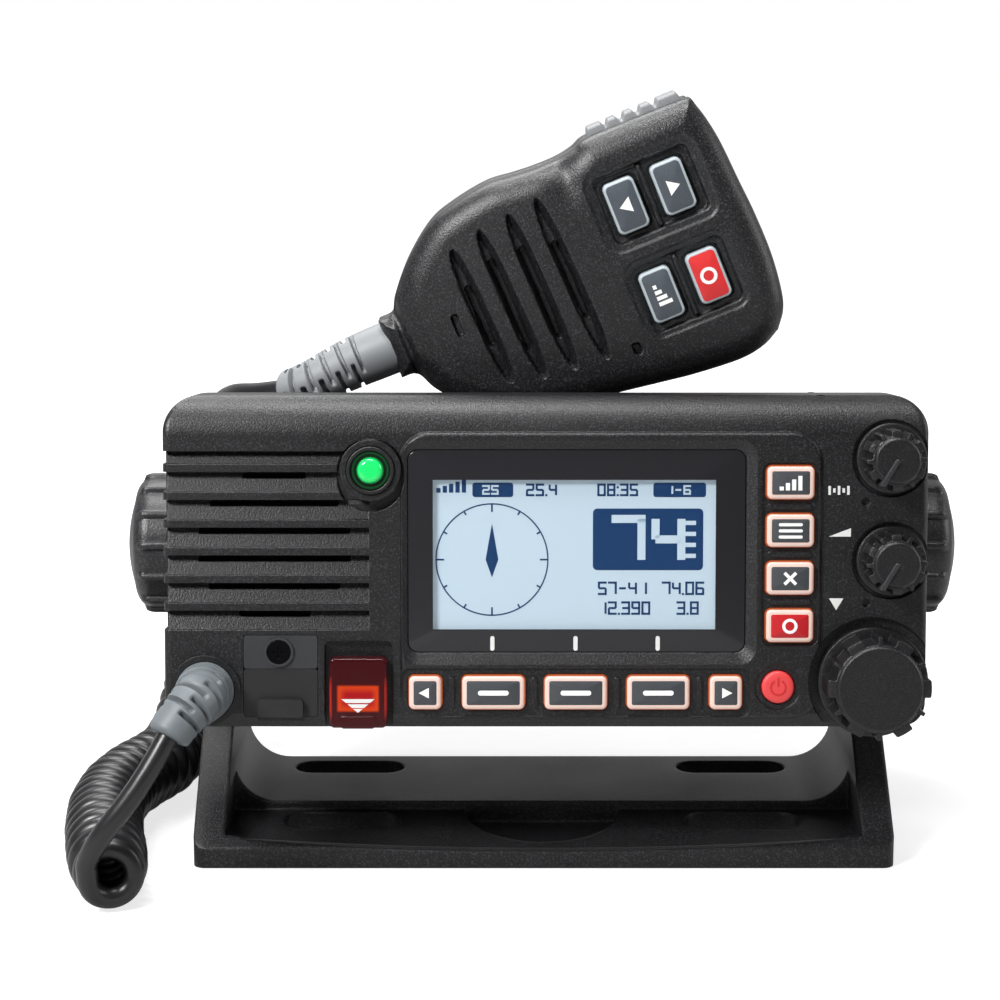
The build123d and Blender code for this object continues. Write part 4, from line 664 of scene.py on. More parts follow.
dress(glowing_lens("green_lens", -41.1, 21.9, 3.0, "041a0b", "18c45e", 0.55), "lamp_lens")
dress(rubber("lamp_bezel_rubber", "121213", 0.6, 0.008, 0.42), "lamp_bezel")


# ---------------------------------------------------------------- display
# A flat hard window, printed black behind its border, lies in a seat of the island. Just behind it
# shines a liquid crystal panel with dark blue segments, and three white marks point at soft keys.
def round_rect(width, height, corner, quarter=7):
    """A rectangle with round corners: the corner's middle plus a quarter of a circle, four times."""
    corner = min(corner, width / 2 - 0.01, height / 2 - 0.01)
    turn = np.concatenate([np.linspace(0, pi / 2, quarter) + pi / 2 * i for i in range(4)])
    side = np.repeat([[1, 1], [-1, 1], [-1, -1], [1, -1]], quarter, axis=0)
    return np.c_[np.cos(turn), np.sin(turn)] * corner + side * (width / 2 - corner, height / 2 - corner)


def stepped(name, middle, size, corner, levels, finish, place=on_panel, sharp=35):
    """A flat-topped block: round rectangles, each shrunk by its inset and set at its height."""
    rings = []
    for inset, height in levels:
        edge = round_rect(size[0] - 2 * inset, size[1] - 2 * inset, max(corner - inset, 0.1)) + middle
        rings.append(place(*edge.T, height))
    return skin(name, rings, finish, sharp=sharp)


def printed(name, shapes, low, high, finish, place=on_panel):
    """Thin raised print: each shape, a row of corners in order, is drawn from low to high."""
    points, faces = [], []
    for shape in shapes:
        count, first = len(shape), sum(len(block) for block in points)
        shape = np.asarray(shape, float)
        points += [place(*shape.T, low), place(*shape.T, high)]
        around = np.arange(count)
        faces += [(first + around).tolist()[::-1], (first + count + around).tolist()]
        after = (around + 1) % count
        faces += (first + np.stack([around, after, after + count, around + count], 1)).tolist()
    return piece_of(name, np.concatenate(points), faces, finish)


def bar(x0, y0, x1, y1, width):
    """A straight stroke between two points, as four corners."""
    way = np.array([x1 - x0, y1 - y0], float)
    side = np.array([-way[1], way[0]]) / np.hypot(*way) * width / 2
    ends = np.array([[x0, y0], [x1, y1]])
    return [ends[0] + side, ends[0] - side, ends[1] - side, ends[1] + side]


def strokes_round(x, y, radius, turns, width):
    """Straight strokes in a row round a middle, from each angle to the next."""
    spots = [(x + radius * cos(a), y + radius * sin(a)) for a in turns]
    return [bar(*start, *end, width) for start, end in zip(spots, spots[1:])]


def box_of(x, y, width, height, corner=0.0):
    """A block's corners about its middle, round ones if a corner is given."""
    if corner:
        return round_rect(width, height, corner, 4) + (x, y)
    return np.array([(-1, -1), (1, -1), (1, 1), (-1, 1)]) * (width / 2, height / 2) + (x, y)


def figure(number, x, y, width, height, weight, gap=0.28):
    """Plain seven-bar figures from the left edge x, centred on y."""
    lit = {"0": "abcdef", "1": "bc", "2": "abged", "3": "abgcd", "4": "fgbc", "5": "afgcd", "6": "afgedc",
           "7": "abc", "8": "abcdefg", "9": "abcdfg", "-": "g"}
    half = weight / 2
    shapes = []
    for sign in number:
        if sign in ".:":
            shapes += [box_of(x + half, y - height / 2 + half, weight, weight)]
            shapes += [box_of(x + half, y + height * 0.2, weight, weight)] * (sign == ":")
            x += weight + gap
            continue
        left, right = x + half, x + width - half
        top, foot = y + (height - weight) / 2, y - (height - weight) / 2
        places = {"a": (left - half, top, right + half, top), "d": (left - half, foot, right + half, foot),
                  "g": (left, y, right, y), "f": (left, y, left, top), "b": (right, y, right, top),
                  "e": (left, y, left, foot), "c": (right, y, right, foot)}
        shapes += [bar(*places[part], weight) for part in lit[sign]]
        x += width + gap
    return shapes


screen_x, screen_y, screen_width, screen_height = 6.8, 1.8, 66.7, 35.5
glass_x, glass_y, glass_width, glass_height = 7.35, 2.7, 79.4, 47.8


def window_glass():
    """Glossy black, and clear over the panel behind: the alpha falls inside the screen's rectangle."""
    finish = Finish("display_window", srgb("242326"), 0.16, Coat_Weight=0.0, IOR=1.42)
    right, up = off_spot(finish, screen_x, screen_y)
    clear = right.under(screen_width / 2, 0.1) * up.under(screen_height / 2, 0.1)
    finish.set("Alpha", 1 - clear * 0.985)
    finish.set("Roughness", finish.noise(30.0, 3.0) * 0.06 + 0.13)
    return finish


def lit_crystal(name, code, glow):
    """The crystal's back light: even, and a little weaker towards the panel's edges."""
    finish = Finish(name, srgb(code), 0.35)
    _, up = off_spot(finish, screen_x, screen_y)
    up = up / (screen_height / 2)
    finish.shine(1 - (up * up) * 0.06 - finish.noise(90.0, 2.0) * 0.03, code, glow)
    return finish


glass = stepped(
    "display_glass", (glass_x, glass_y), (glass_width, glass_height), 2.4,
    [(0.0, -1.50), (0.0, -0.30), (0.10, -0.16), (0.25, -0.10)], window_glass(), sharp=60,
)
fit(glass, "radio", "window", "display_window")
crystal = stepped(
    "crystal_panel", (screen_x, screen_y), (screen_width + 0.6, screen_height + 0.6), 0.3,
    [(0.0, -1.69), (0.0, -1.63)], lit_crystal("crystal_light", "a2b3bf", 0.42),
)
fit(crystal, "radio", "screen")
navy = lit_crystal("crystal_navy", "042a50", 0.55)
pale = lit_crystal("crystal_pale", "a2b3bf", 0.42)
ring_x, ring_y, ring = -12.6, 0.6, 13.2
rim = strokes_round(ring_x, ring_y, ring, np.linspace(0, 2 * pi, 73), 0.32)
ticks = []
for i in range(12):
    angle, inner = i * pi / 6, ring - (1.9 if i % 3 == 0 else 1.0)
    start, end = ((ring_x + far * cos(angle), ring_y + far * sin(angle)) for far in (inner, ring))
    ticks.append(bar(*start, *end, 0.4))
needle = [[(ring_x, ring_y + 8.6), (ring_x - 1.5, ring_y), (ring_x + 1.5, ring_y)],
          [(ring_x - 1.5, ring_y), (ring_x, ring_y - 4.2), (ring_x + 1.5, ring_y)]]
top_row, digits = 17.1, []
ladder = [box_of(-25.2 + 1.5 * i, 17.0 + 0.25 * i, 1.0, 1.1 + 0.5 * i) for i in range(5)]
blocks = [box_of(-12.4, top_row, 9.6, 3.4, 0.6), box_of(24.2, 5.4, 26.0, 14.6, 1.0)]
blocks += [box_of(31.6, top_row, 12.4, 3.4, 0.6)]
for number, x, y, width, height in (
    ("25.4", -4.6, top_row, 2.0, 3.0), ("08:35", 12.2, top_row, 2.0, 3.0), ("57-41", 12.4, -6.2, 2.1, 3.2),
    ("12.390", 12.4, -10.9, 2.1, 3.2), ("74.06", 27.5, -6.2, 2.1, 3.2), ("3.8", 31.0, -10.9, 2.1, 3.2),
):
    digits += figure(number, x, y, width, height, 0.5)
dark_marks = rim + ticks + needle + ladder + blocks + digits
fit(printed("crystal_marks", dark_marks, -1.63, -1.58, navy), "radio", "screen")
inverse = figure("74", 15.6, 5.4, 8.0, 11.6, 1.9, 1.4)
for number, x in (("25", -14.9), ("1-6", 28.3)):
    inverse += figure(number, x, top_row, 1.8, 2.3, 0.45)
inverse += [box_of(34.2, 9.3 - 2.6 * i, 2.6, 1.0) for i in range(4)]
fit(printed("crystal_inverse", inverse, -1.58, -1.54, pale), "radio", "screen")
white_ink = rubber("white_ink", "e4e4e2", 0.8, 0.002)
marks = [box_of(x, -19.1, 1.0, 3.5, 0.49) for x in (-12.5, 7.1, 26.5)]
fit(printed("window_marks", marks, -0.11, -0.06, white_ink), "radio", "key_rubber")


# ---------------------------------------------------------------- keys
# Each key is one moulding of translucent rubber, lit from behind. Its top is painted dark and laser
# cut, which leaves a pale rim and a white sign; orange light leaks out round its foot.
def lit_rubber(name, code, glow_code, glow, roughness=0.42):
    """Translucent rubber over a lamp: its own colour, and a glow that drifts a little."""
    finish = Finish(name, srgb(code), roughness)
    drift = finish.noise(160.0, 2.0) * 0.5 + 0.7
    finish.shine(drift.clamped(), glow_code, glow)
    finish.bump(finish.noise(2200.0, 1.0), 0.008)
    return finish


def lay_key(key, node, slot, at, size, layers, sign, low, high, place=on_panel):
    """A key's layers, one on the other, and its sign. A layer is the end of its name, its corner,
    its insets and heights, its finish and the angle of its crisp edges; the first stands for a solid."""
    for part, corner, levels, finish, sharp in layers:
        piece = stepped(f"{key}_{part}", at, size, corner, levels, finish, place, sharp)
        fit(piece, key, slot, *([node] if part == layers[0][0] else []))
    shapes = [np.asarray(shape) + at for shape in sign]
    fit(printed(key + "_sign", shapes, low, high, sign_white, place), key, slot)


key_leak = lit_rubber("key_leak", "7a4630", "ff7a40", 0.42)
key_rim = lit_rubber("key_rim", "cdb8b0", "ffc8b0", 0.20)
key_field = moulded("key_field", "3c3f43", 0.45, 0.3, 0.02, 0.0, 0.03)
key_red = moulded("key_red", "b8121c", 0.42, 0.3, 0.008, 0.0, 0.01)
sign_white = lit_rubber("sign_white", "e6e6e4", "ffffff", 0.18)
full_turn = np.linspace(0, 2 * pi, 25)
dash = [round_rect(7.2, 1.15, 0.5, 4)]
left_triangle = [[(-1.5, 0.0), (0.9, 1.25), (0.9, -1.25)]]
right_triangle = [[(1.5, 0.0), (-0.9, -1.25), (-0.9, 1.25)]]
growing_bars = [box_of(-2.2 + 1.45 * i, -1.3 + 0.42 * i, 0.95, 0.9 + 0.84 * i) for i in range(4)]
three_lines = [box_of(0, 1.45 * (1 - i), 5.6, 0.72, 0.3) for i in range(3)]
cross = [bar(-1.35, -1.35, 1.35, 1.35, 0.75), bar(-1.35, 1.35, 1.35, -1.35, 0.75)]
row_y, side_x, arrow_size, soft_size, side_size = -30.6, 57.4, (7.7, 8.0), (14.8, 8.0), (11.15, 7.8)
for key, node, x, y, size, sign in (
    ("left_arrow", "left_arrow_key", -28.35, row_y, arrow_size, left_triangle),
    ("soft_left", "soft_key_left", -12.28, row_y, soft_size, dash),
    ("soft_middle", "soft_key_middle", 7.15, row_y, soft_size, dash),
    ("soft_right", "soft_key_right", 26.58, row_y, soft_size, dash),
    ("right_arrow", "right_arrow_key", 42.5, row_y, arrow_size, right_triangle),
    ("power_level", "power_level_key", side_x, 19.0, side_size, growing_bars),
    ("menu", "menu_key", side_x, 7.75, side_size, three_lines),
    ("clear", "clear_key", side_x, -3.5, side_size, cross),
    ("priority", "priority_key", side_x, -14.75, side_size, strokes_round(0, 0, 1.45, full_turn, 0.7)),
):
    red = key == "priority"
    layers = (
        ("foot", 1.3, [(-0.6, -3.9), (-0.6, -3.3), (0.0, -3.2), (0.0, 1.35), (0.3, 1.5)], key_leak, 35),
        ("rim", 1.3, [(0.10, 1.0), (0.10, 1.62), (0.2, 1.86), (0.45, 2.04), (0.8, 2.1)], key_rim, 60),
        ("field", 1.6, [(1.15, 2.0), (1.15, 2.12), (1.22, 2.16)], key_red if red else key_field, 35),
    )
    lay_key(key, node, "red_key_rubber" if red else "key_rubber", (x, y), size, layers, sign, 2.14, 2.21)


# ---------------------------------------------------------------- power key
# A round key of translucent red rubber, lit from behind, with a raised ring sign on its top.
def rings_round(middle, reach, height, turn):
    """Rings about an axis out of the panel: how far each point reaches at its angle, and its height."""
    return on_panel(middle[0] + reach * np.cos(turn), middle[1] + reach * np.sin(turn), height)


power_x, power_y = 54.8, -29.3
power_rubber = lit_rubber("power_rubber", "cf4244", "ff3028", 0.12, 0.45)
profile = np.array([(4.4, -3.9), (4.4, -3.3), (3.8, -3.2), (3.8, 1.5), (3.66, 1.86), (3.3, 2.06), (2.5, 2.1),
                    (1.2, 2.12), (0.3, 2.12)])
turn = np.linspace(0, 2 * pi, 72, endpoint=False)[None, :]
power_rings = rings_round((power_x, power_y), profile[:, :1], profile[:, 1:], turn)
fit(skin("power_cap", power_rings, power_rubber), "power", "power_rubber", "power_key")
power_sign = strokes_round(power_x, power_y, 1.75, np.linspace(radians(120), radians(420), 31), 0.4)
power_sign += [bar(power_x, -29.0, power_x, -27.0, 0.4)]
sign_red = lit_rubber("sign_red", "b8282c", "e02020", 0.10)
fit(printed("power_sign", power_sign, 2.08, 2.22, sign_red), "power", "power_rubber")


# ---------------------------------------------------------------- emergency button
# A lit red button sits in a pocket under a hinged cover of clear red plastic, so that nobody
# presses it by chance. A striped arrow on the cover shows which way to pull its tab.
def clear_red():
    """Clear red plastic: dark where it is thick, with the lit button's glow coming through. Its side
    edges beside the button are painted paler and glow, as a painted highlight, and the rest of the
    cover glows faintly dark red.
    """
    button_x, button_y, deep = -44.1, -31.8, srgb("2c0104")
    finish = Finish("clear_red", deep, 0.14, Specular_IOR_Level=0.35)
    right, up = off_spot(finish, button_x, button_y)
    glow = right.under(4.8, 0.6) * up.under(3.0, 0.6)
    core = right.under(3.8, 1.6) * up.under(2.0, 1.6)
    # Painted highlight: the side edges beside the button get a paler red and glow dark red; elsewhere the
    # cover glows faintly in its own dark red.
    edge = (1 - right.under(6.2, 0.3)) * up.under(4.0, 3.0)
    finish.set("Base Color", finish.mix(edge, deep, srgb("8c1a14")))
    lit = finish.mix(core, srgb("f04a0c"), srgb("b81018"))
    finish.set("Emission Color", finish.mix(glow, finish.mix(edge, deep, srgb("5a0c08")), lit))
    finish.set("Emission Strength", 0.8)
    finish.set("Alpha", 0.94 - glow * 0.1)
    finish.set("Normal", finish.node("ShaderNodeBevel", {"samples": 6}, Radius=0.0004))
    return finish


dress(clear_red(), "emergency_cover")
dress(lit_rubber("lit_red", "c22a1c", "ff4a20", 0.5), "emergency_button")
arrow, arrow_x, arrow_top = [], -44.1, -31.9
for top in (arrow_top, -33.1, -34.2):
    foot = top - 0.9
    half_top, half_foot = (3.9 * (1 + (level - arrow_top) / 3.25) for level in (top, foot))
    left, right = ([(arrow_x + way * half_top, top), (arrow_x + way * half_foot, foot)] for way in (-1, 1))
    arrow.append(left + right[::-1])
fit(printed("cover_arrow", arrow, 2.98, 3.06, white_ink), "emergency_cover", "clear_red")


# ---------------------------------------------------------------- control knobs
# Squelch, volume and channel knobs are pressed on their shafts. Each is one moulding: a round
# skirt, a grip with wide and narrow ridges in turn, and a flat top; two carry a raised pointer.
def control_knob(name, middle, skirt, grip, cap, foot, skirt_height, height, wide_mm, first):
    """Rings about the shaft. Each has a radius, a height and a share of the ridges, which raise the
    radius by a mask round it: a wide ridge, a gap, a narrow ridge, a gap, six times."""
    valley, ledge = cap + 0.35, foot + skirt_height
    stem = spaced([(valley, ledge), (valley, height - 1.5)], 0.5)
    top = np.linspace(cap - 0.8, 0.25, 4)
    profile = np.concatenate([
        [(0.25, foot, 0), (skirt - 0.5, foot, 0), (skirt, foot + 0.35, 0), (skirt, ledge - 0.45, 0),
         (skirt - 0.18, ledge - 0.12, 0), (skirt - 0.55, ledge, 0)],
        np.c_[stem, np.ones(len(stem))],
        [(valley, height - 1.3, 0.95), (valley, height - 1.1, 0.6), (cap + 0.2, height - 1.0, 0.1),
         (cap, height - 0.95, 0), (cap, height - 0.5, 0), (cap - 0.06, height - 0.4, 0),
         (cap - 0.4, height - 0.05, 0), (cap - 0.5, height, 0)],
        np.c_[top, np.full(len(top), height), np.zeros(len(top))],
    ])
    turn = np.linspace(0, 2 * pi, 360, endpoint=False)[None, :]
    place = np.mod(turn - radians(first) + pi / 6, pi / 3) - pi / 6
    apart = np.abs(np.mod(turn - radians(first), pi / 3) - pi / 6)
    ridge = np.maximum(
        1 - steps(np.abs(place) * grip, wide_mm / 2, 0.3), 1 - steps(apart * grip, 0.55, 0.3)
    )
    wide, tall, share = profile[:, :1], profile[:, 1:2], profile[:, 2:3]
    reach = wide + (grip - valley) * share * ridge
    return skin(name, rings_round(middle, reach, tall, turn), knob_plastic, sharp=28)


def pointer_bar(name, middle, aim, length, height):
    """A raised bar from the cap's middle out over its edge, with sloping sides."""
    def turned_to(along, across, out):
        x = middle[0] + along * cos(aim) - across * sin(aim)
        return on_panel(x, middle[1] + along * sin(aim) + across * cos(aim), out)

    levels = [(0.0, height - 3.0), (0.0, height + 0.02), (0.12, height + 0.3), (0.3, height + 0.48)]
    return stepped(name, (length / 2 - 0.5, 0.0), (length, 1.3), 0.6, levels, pointer_plastic, turned_to)


pointer_plastic = moulded("pointer_plastic", "2c2c2e", 0.34, 0.36, 0.02, 0.0, 0.1)
for knob, spot in (("squelch", (81.1, 24.6)), ("volume", (81.3, 0.5))):
    cap = control_knob(knob + "_control", spot, 8.3, 7.1, 5.4, -0.8, 1.8, 10.7, 2.6, 92)
    fit(cap, knob, "knob_plastic", knob + "_knob")
    fit(pointer_bar(knob + "_pointer", spot, radians(238), 7.6, 10.7), knob, "knob_plastic")
channel = control_knob("channel_control", (77.2, -28.1), 13.0, 12.1, 10.0, -0.3, 2.2, 13.7, 4.4, 120)
fit(channel, "channel_dial", "knob_plastic", "channel_knob")
control_marks = [box_of(66.7 + 1.1 * i, 17.1, 0.6, 2.1 - 1.1 * (i % 2)) for i in range(5)]
control_marks += [[(66.6, 6.2), (71.8, 6.2), (71.8, 8.2)], [(66.8, -8.4), (70.2, -8.4), (68.5, -11.2)]]
fit(printed("control_marks", control_marks, -0.02, 0.05, white_ink), "radio", "key_rubber")


# ---------------------------------------------------------------- hand microphone
# The microphone's two shells are moulded in the panel's black plastic and screwed together. The
# front has sound slits in four long grooves, and two sunk fields for the keys; the talk bar comes
# out of the upper edge, and the cord's boot out of the neck.
mic_lean = radians(22.4)
mic_place = np.array((-0.0369, -0.0024, 0.1236))
mic_along = np.array((cos(mic_lean), 0.0, sin(mic_lean)))
mic_across = np.array((-sin(mic_lean), 0.0, cos(mic_lean)))
mic_out = np.array((0.0, -1.0, 0.0))
mic_keys = {"mic_down": (66.0, 11.6), "mic_up": (78.2, 11.6),
            "mic_power_level": (66.0, -11.6), "mic_priority": (78.2, -11.6)}


def on_mic(along, across, out):
    """Points along the microphone from its neck, across it and out of its front."""
    return placed(mic_place, (mic_along, mic_across, mic_out), (along, across, out))


def through(points, count):
    """A smooth line through points: between two, the cubic that also heeds their neighbours."""
    p = np.asarray(points, float)
    p = np.concatenate([2 * p[:1] - p[1:2], p, 2 * p[-1:] - p[-2:-1]])
    t = np.linspace(0, len(points) - 1 - 1e-9, count)
    i = t.astype(int)
    f = (t - i)[:, None]
    a, b, c, d = p[i], p[i + 1], p[i + 2], p[i + 3]
    return 0.5 * (2 * b + (c - a) * f + (2 * a - 5 * b + 4 * c - d) * f**2 + (3 * b - a - 3 * c + d) * f**3)


neck_end, head_low, head_high = -1.1, (89.4, -31.3), (90.4, 28.2)
upper_side = through(
    [(neck_end, 7.6), (2.7, 8.0), (5.4, 12.2), (11.3, 18.7), (19.7, 24.9), (26.9, 27.3), (36.3, 28.7),
     (43.1, 28.1), (48.4, 27.7), (54.5, 27.7), (59.2, 28.5), (62.5, 29.7), (70.0, 29.9), (88.4, 29.5),
     head_high], 400)
lower_side = through(
    [(neck_end, -7.6), (2.7, -8.2), (5.4, -13.0), (10.0, -18.6), (15.5, -22.8), (22.0, -26.0), (30.0, -28.4),
     (40.0, -29.9), (50.0, -31.4), (58.5, -32.7), (66.9, -33.9), (78.1, -34.7), (84.7, -33.7), head_low], 400)
head_end = through(
    [head_low, (92.2, -27.3), (93.6, -22.4), (94.5, -13.0), (94.3, -2.3), (93.6, 6.8), (92.9, 16.7),
     (91.8, 23.3), head_high], 300)


def face_grid(rows, columns):
    """Points that fill the outline: straight lines between its upper and lower sides, bent at the
    ends to follow the head's round edge and the neck."""
    s, t = np.linspace(0, 1, rows)[:, None], np.linspace(0, 1, columns)[None, :]
    low_a, high_a = (neck_end + s * (corner[0] - neck_end) for corner in (head_low, head_high))
    low_n, high_n = np.interp(low_a, *lower_side.T), np.interp(high_a, *upper_side.T)
    head_a = np.interp(head_low[1] + t * (head_high[1] - head_low[1]), *head_end.T[::-1])
    along = (1 - t) * low_a + t * high_a + s * (head_a - ((1 - t) * head_low[0] + t * head_high[0]))
    return along, (1 - t) * low_n + t * high_n


def border(grid):
    """The grid's outermost points, once round."""
    return np.concatenate([grid[:, 0], grid[-1, 1:], grid[-2::-1, -1], grid[0, -2:0:-1]])


def from_edge(along, across):
    """How far each point lies from the outline, in millimetres."""
    rim = np.stack([border(along), border(across)], -1)
    away = [np.hypot(a[..., None] - rim[:, 0], n[..., None] - rim[:, 1]).min(-1)
            for a, n in zip(np.array_split(along, 24), np.array_split(across, 24))]
    return np.concatenate(away)


def within(along, across, left, right, low, high, corner):
    """How deep a point lies inside a rectangle with round corners; less than 0 outside it."""
    a = np.abs(along - (left + right) / 2) - (right - left) / 2 + corner
    n = np.abs(across - (low + high) / 2) - (high - low) / 2 + corner
    return corner - np.hypot(np.maximum(a, 0), np.maximum(n, 0)) - np.minimum(np.maximum(a, n), 0)


def rolled_edge(plateau, deep, width, drop):
    """A plateau that falls by the drop as a quarter of an ellipse over the width from the outline."""
    edge = np.clip(1 - deep / width, 0, 1)
    return plateau - drop * (1 - np.sqrt(1 - 0.985 * edge**2))


def neck_groove(along):
    """1 in the groove round the neck and 0 elsewhere."""
    return steps(along, 2.9, 0.8) * (1 - steps(along, 4.6, 1.6))


def front_height(along, across, deep):
    """The front's height over the joint: a plateau that slopes down to the neck and rolls off at the
    edge, less the grooves, slits and sunk fields, each a smooth step of a distance."""
    head_height, neck_height, pocket_depth, pocket_a, pocket_n = 15.0, 8.8, 0.9, 4.6, 7.0
    groove_half, groove_depth, slit_depth, ledge_drop, rib_at = 2.05, 2.7, 2.6, 0.35, 72.1
    dome = head_height - 0.0016 * np.maximum(60.0 - along, 0) ** 2 - 0.0022 * across**2
    plateau = neck_height + (dome - neck_height) * steps(along, 7.0, 9.0)
    height = rolled_edge(plateau, deep, 6.4, 5.2)
    height -= 1.0 * neck_groove(along)
    dent = -(((along - 54.5) / 3.6) ** 2) - ((np.abs(across) - 25.5) / 7.5) ** 2
    height -= 1.5 * np.exp(dent) * (across > 0)
    grooves = ((22.8, 17.7, 24.0, -18.3, 8), (30.7, 19.6, 32.0, -20.2, 12), (38.7, 20.6, 39.8, -21.0, 12),
               (46.4, 21.5, 48.0, -21.6, 10))
    for a_top, n_top, a_foot, n_foot, slit in grooves:
        share = np.clip((across - n_foot) / (n_top - n_foot), 0, 1)
        beside = along - (a_foot + (a_top - a_foot) * share)
        half = groove_half * np.clip(1 - np.abs(2 * share - 1) ** 3.6, 0, 1) ** 0.55
        wall = steps(beside, -half + 0.15, 0.5) * np.clip((half + 0.15 - beside) / 1.9, 0, 1)
        height -= groove_depth * wall * (half > 0.05)
        middle = (n_top + n_foot) / 2
        in_slit = within(beside, across - middle, -1.15, 0.55, -slit, slit, 0.8)
        height -= slit_depth * steps(in_slit, 0.0, 0.3)
    fields = ((57.8, 87.2, 0.9, 22.6, 2.3, 1.5), (58.9, 86.4, -22.2, -1.3, 1.8, 1.1))
    for left, right, low, high, ledge, sink in fields:
        inner = within(along, across, left, right, low, high, 4.2)
        slope = ledge_drop * steps(inner, 0.3, 0.5) + ledge_drop * np.clip(inner / ledge, 0, 1)
        height -= slope + sink * steps(inner, ledge + 0.2, 0.5)
        rib = (1 - steps(np.abs(along - rib_at), 0.55, 0.35)) * steps(inner, ledge + 0.7, 0.4)
        height += (sink + 0.1) * rib
        for a, n in mic_keys.values():
            if low < n < high:
                around = within(along, across, a - pocket_a, a + pocket_a, n - pocket_n, n + pocket_n, 1.8)
                height -= pocket_depth * steps(around, 0.0, 0.35)
    for left, right, low, high, corner, depth in (
        (54.6, 56.6, -23.2, -20.4, 0.9, 2.2), (16.3, 17.9, -3.0, 2.6, 0.75, 1.8)
    ):
        height -= depth * steps(within(along, across, left, right, low, high, corner), 0.0, 0.3)
    return height


def rear_height(along, across, deep):
    """The back: flatter than the front, with a broad roll at its edge."""
    plateau = 8.6 + 5.4 * steps(along, 7.0, 17.0)
    return rolled_edge(plateau, deep, 7.0, 5.0) - 0.8 * neck_groove(along)


def mic_shell(name, rows, columns, height_of, side, finish):
    """A grid for the face, and rings from its border down to the joint, where the wall turns in a
    little, so that a fine seam shows between the shells. The open foot is closed by a fan."""
    along, across = face_grid(rows, columns)
    height = height_of(along, across, from_edge(along, across))
    face = on_mic(along, across, side * height)
    count = rows * columns
    numbers = np.arange(count).reshape(rows, columns)
    rim = border(numbers)
    edge_a, edge_n, edge_h = border(along), border(across), border(height)
    pull_a, pull_n = 45.0 - edge_a, -1.0 - edge_n
    length = np.hypot(pull_a, pull_n)
    rings = []
    for share, foot, inset in ((0.5, 0.0, 0.0), (0.0, 0.45, 0.0), (0.0, 0.12, 0.4), (0.0, 0.03, 1.4)):
        ring_a, ring_n = edge_a + pull_a / length * inset, edge_n + pull_n / length * inset
        rings.append(on_mic(ring_a, ring_n, side * (edge_h * share + foot)))
    points = np.concatenate([face.reshape(-1, 3), *rings, rings[-1].mean(axis=0)[None]])
    quads = np.stack([numbers[:-1, :-1], numbers[1:, :-1], numbers[1:, 1:], numbers[:-1, 1:]], -1)
    faces = quads.reshape(-1, 4).tolist()
    around = len(rim)
    levels = [rim] + [count + around * i + np.arange(around) for i in range(len(rings))]
    for upper, lower in zip(levels, levels[1:]):
        faces += np.stack([upper, np.roll(upper, -1), np.roll(lower, -1), lower], -1).tolist()
    last = levels[-1]
    faces += np.stack([last, np.roll(last, -1), np.full(around, len(points) - 1)], -1).tolist()
    return piece_of(name, points, faces, finish, sharp=62)


mic_plastic = moulded("mic_plastic", "151517", 0.40, 0.40, 0.09, 0.0, 0.6)
fit(mic_shell("mic_front", 290, 200, front_height, 1, mic_plastic), "mic", "mic_plastic", "mic_front_shell")
fit(mic_shell("mic_rear", 120, 80, rear_height, -1, mic_plastic), "mic", "mic_plastic", "mic_rear_shell")
dress(mic_plastic, "hanger_stud")


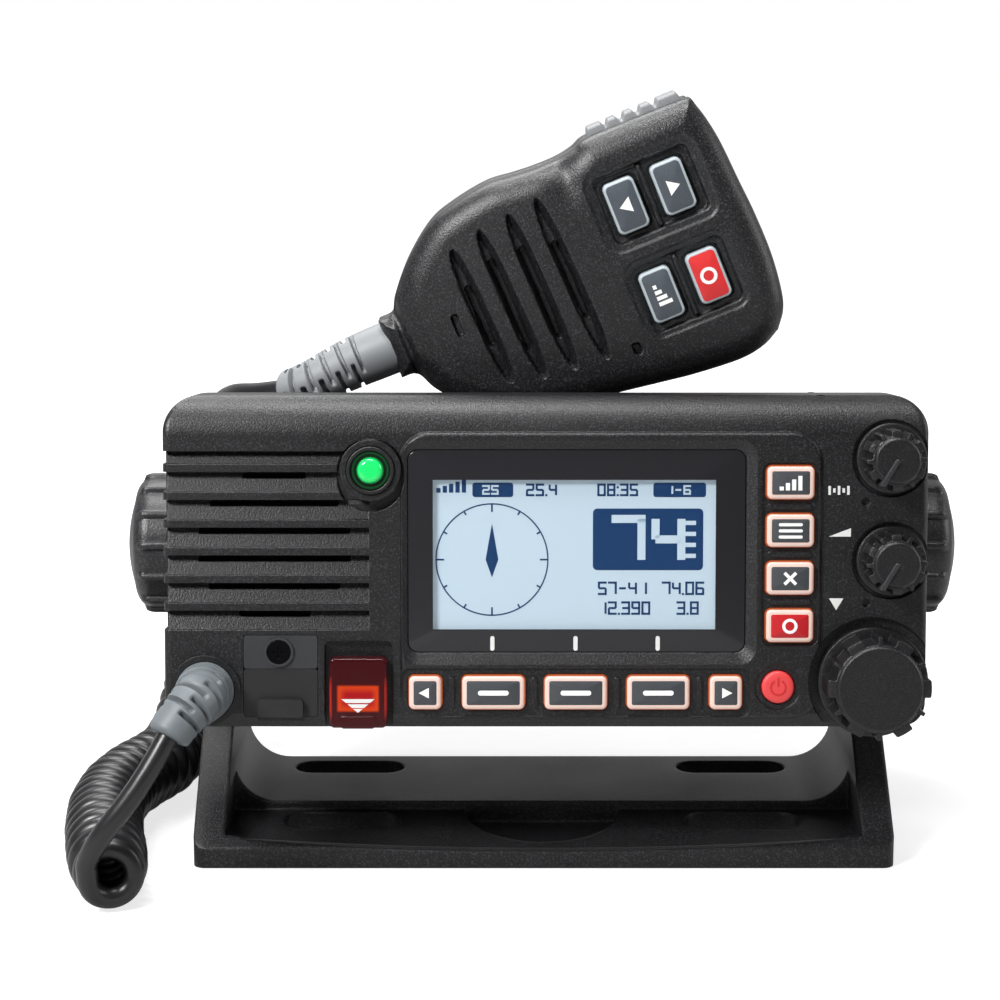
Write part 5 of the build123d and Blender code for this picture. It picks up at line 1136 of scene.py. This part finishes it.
# ---------------------------------------------------------------- microphone's keys
# Four rubber keys stand in the sunk fields: a pale rim, a grey field and a white sign; one is red.
mic_rim = lit_rubber("mic_key_rim", "a9b2b7", "b4c0c6", 0.03)
mic_field = moulded("mic_key_field", "464c53", 0.45, 0.3, 0.01, 0.0, 0.03)
mic_red = moulded("mic_key_red", "cf2a2c", 0.42, 0.3, 0.006, 0.0, 0.01)
mic_signs = {
    "mic_down": [[(-1.7, 0.0), (1.25, 1.9), (1.25, -1.9)]],
    "mic_up": [[(1.7, 0.0), (-1.25, -1.9), (-1.25, 1.9)]],
    "mic_power_level": [box_of(-1.0 + 0.42 * i, 2.3 - 1.45 * i, 0.9 + 0.84 * i, 0.95) for i in range(4)],
    "mic_priority": strokes_round(0, 0, 1.7, full_turn, 0.8),
}
for key, spot in mic_keys.items():
    red = key == "mic_priority"
    layers = (
        ("rim", 1.5, [(0.0, 10.6), (0.0, 14.9), (0.12, 15.2), (0.4, 15.36), (0.7, 15.38)], mic_rim, 60),
        ("field", 1.7, [(0.62, 15.3), (0.62, 15.46), (0.72, 15.5)], mic_red if red else mic_field, 35),
    )
    slot = "red_key_rubber" if red else "mic_key_rubber"
    lay_key(key, key + "_key", slot, spot, (7.9, 12.8), layers, mic_signs[key], 15.48, 15.55, on_mic)


# ---------------------------------------------------------------- talk bar
# The push-to-talk bar is soft grey rubber with five raised ribs across it, so that a thumb finds it.
def talk_bar():
    """Rings along the microphone: each a rectangle with round corners, whose outer side rises at the
    ribs by a smooth step of the distance to a rib's middle."""
    start, stop, foot, top, rib_height = 63.6, 88.0, 26.4, 30.5, 1.45
    at = np.linspace(start, stop, 190)[:, None]
    ribs = np.array([(66.0, 2.1), (70.6, 1.35), (74.9, 1.35), (79.3, 1.5), (85.0, 2.75)])
    near = np.stack([1 - steps(np.abs(at - middle), half, 1.2) for middle, half in ribs]).max(axis=0)
    end = 1 - np.clip(np.minimum(at - start, stop - at) / 0.7, 0, 1)
    outline = round_rect(2.0, 2.0, 0.28, 6)
    across = foot + (top + rib_height * near - 0.6 * end**2 - foot) * (outline[None, :, 1] + 1) / 2
    out = 5.4 * outline[None, :, 0] * (1 - 0.05 * end)
    return skin("ribbed_talk_bar", on_mic(at, across, out), rubber("talk_rubber", "86888a"), sharp=40)


fit(talk_bar(), "talk_bar", "grey_rubber", "talk_bar")


# ---------------------------------------------------------------- microphone's boot
# The same slotted boot as the panel's, in a lighter grey rubber, leads the cord into the neck.
mic_boot_rubber = rubber("mic_boot_rubber", "85888a", 0.4)
neck = mic_place - mic_along * 0.0001
mic_boot_line = bent_line(neck, -mic_along, tail_points[-1], (-7.0, 4.5, -1.4), 0.008)
mic_boot = ribbed_boot(
    "mic_slotted_boot", mic_boot_line, (6.7, 6.6, 6.4, 6.0, 5.4, 4.8), mic_boot_rubber, 8.0, 2.1, 0.95, 2.2
)
fit(mic_boot, "mic", "grey_rubber", "mic_boot")


# ---------------------------------------------------------------- sizes
# A box's corners as plain lists of numbers.
def corners(box):
    return [[float(part) for part in corner] for corner in box]
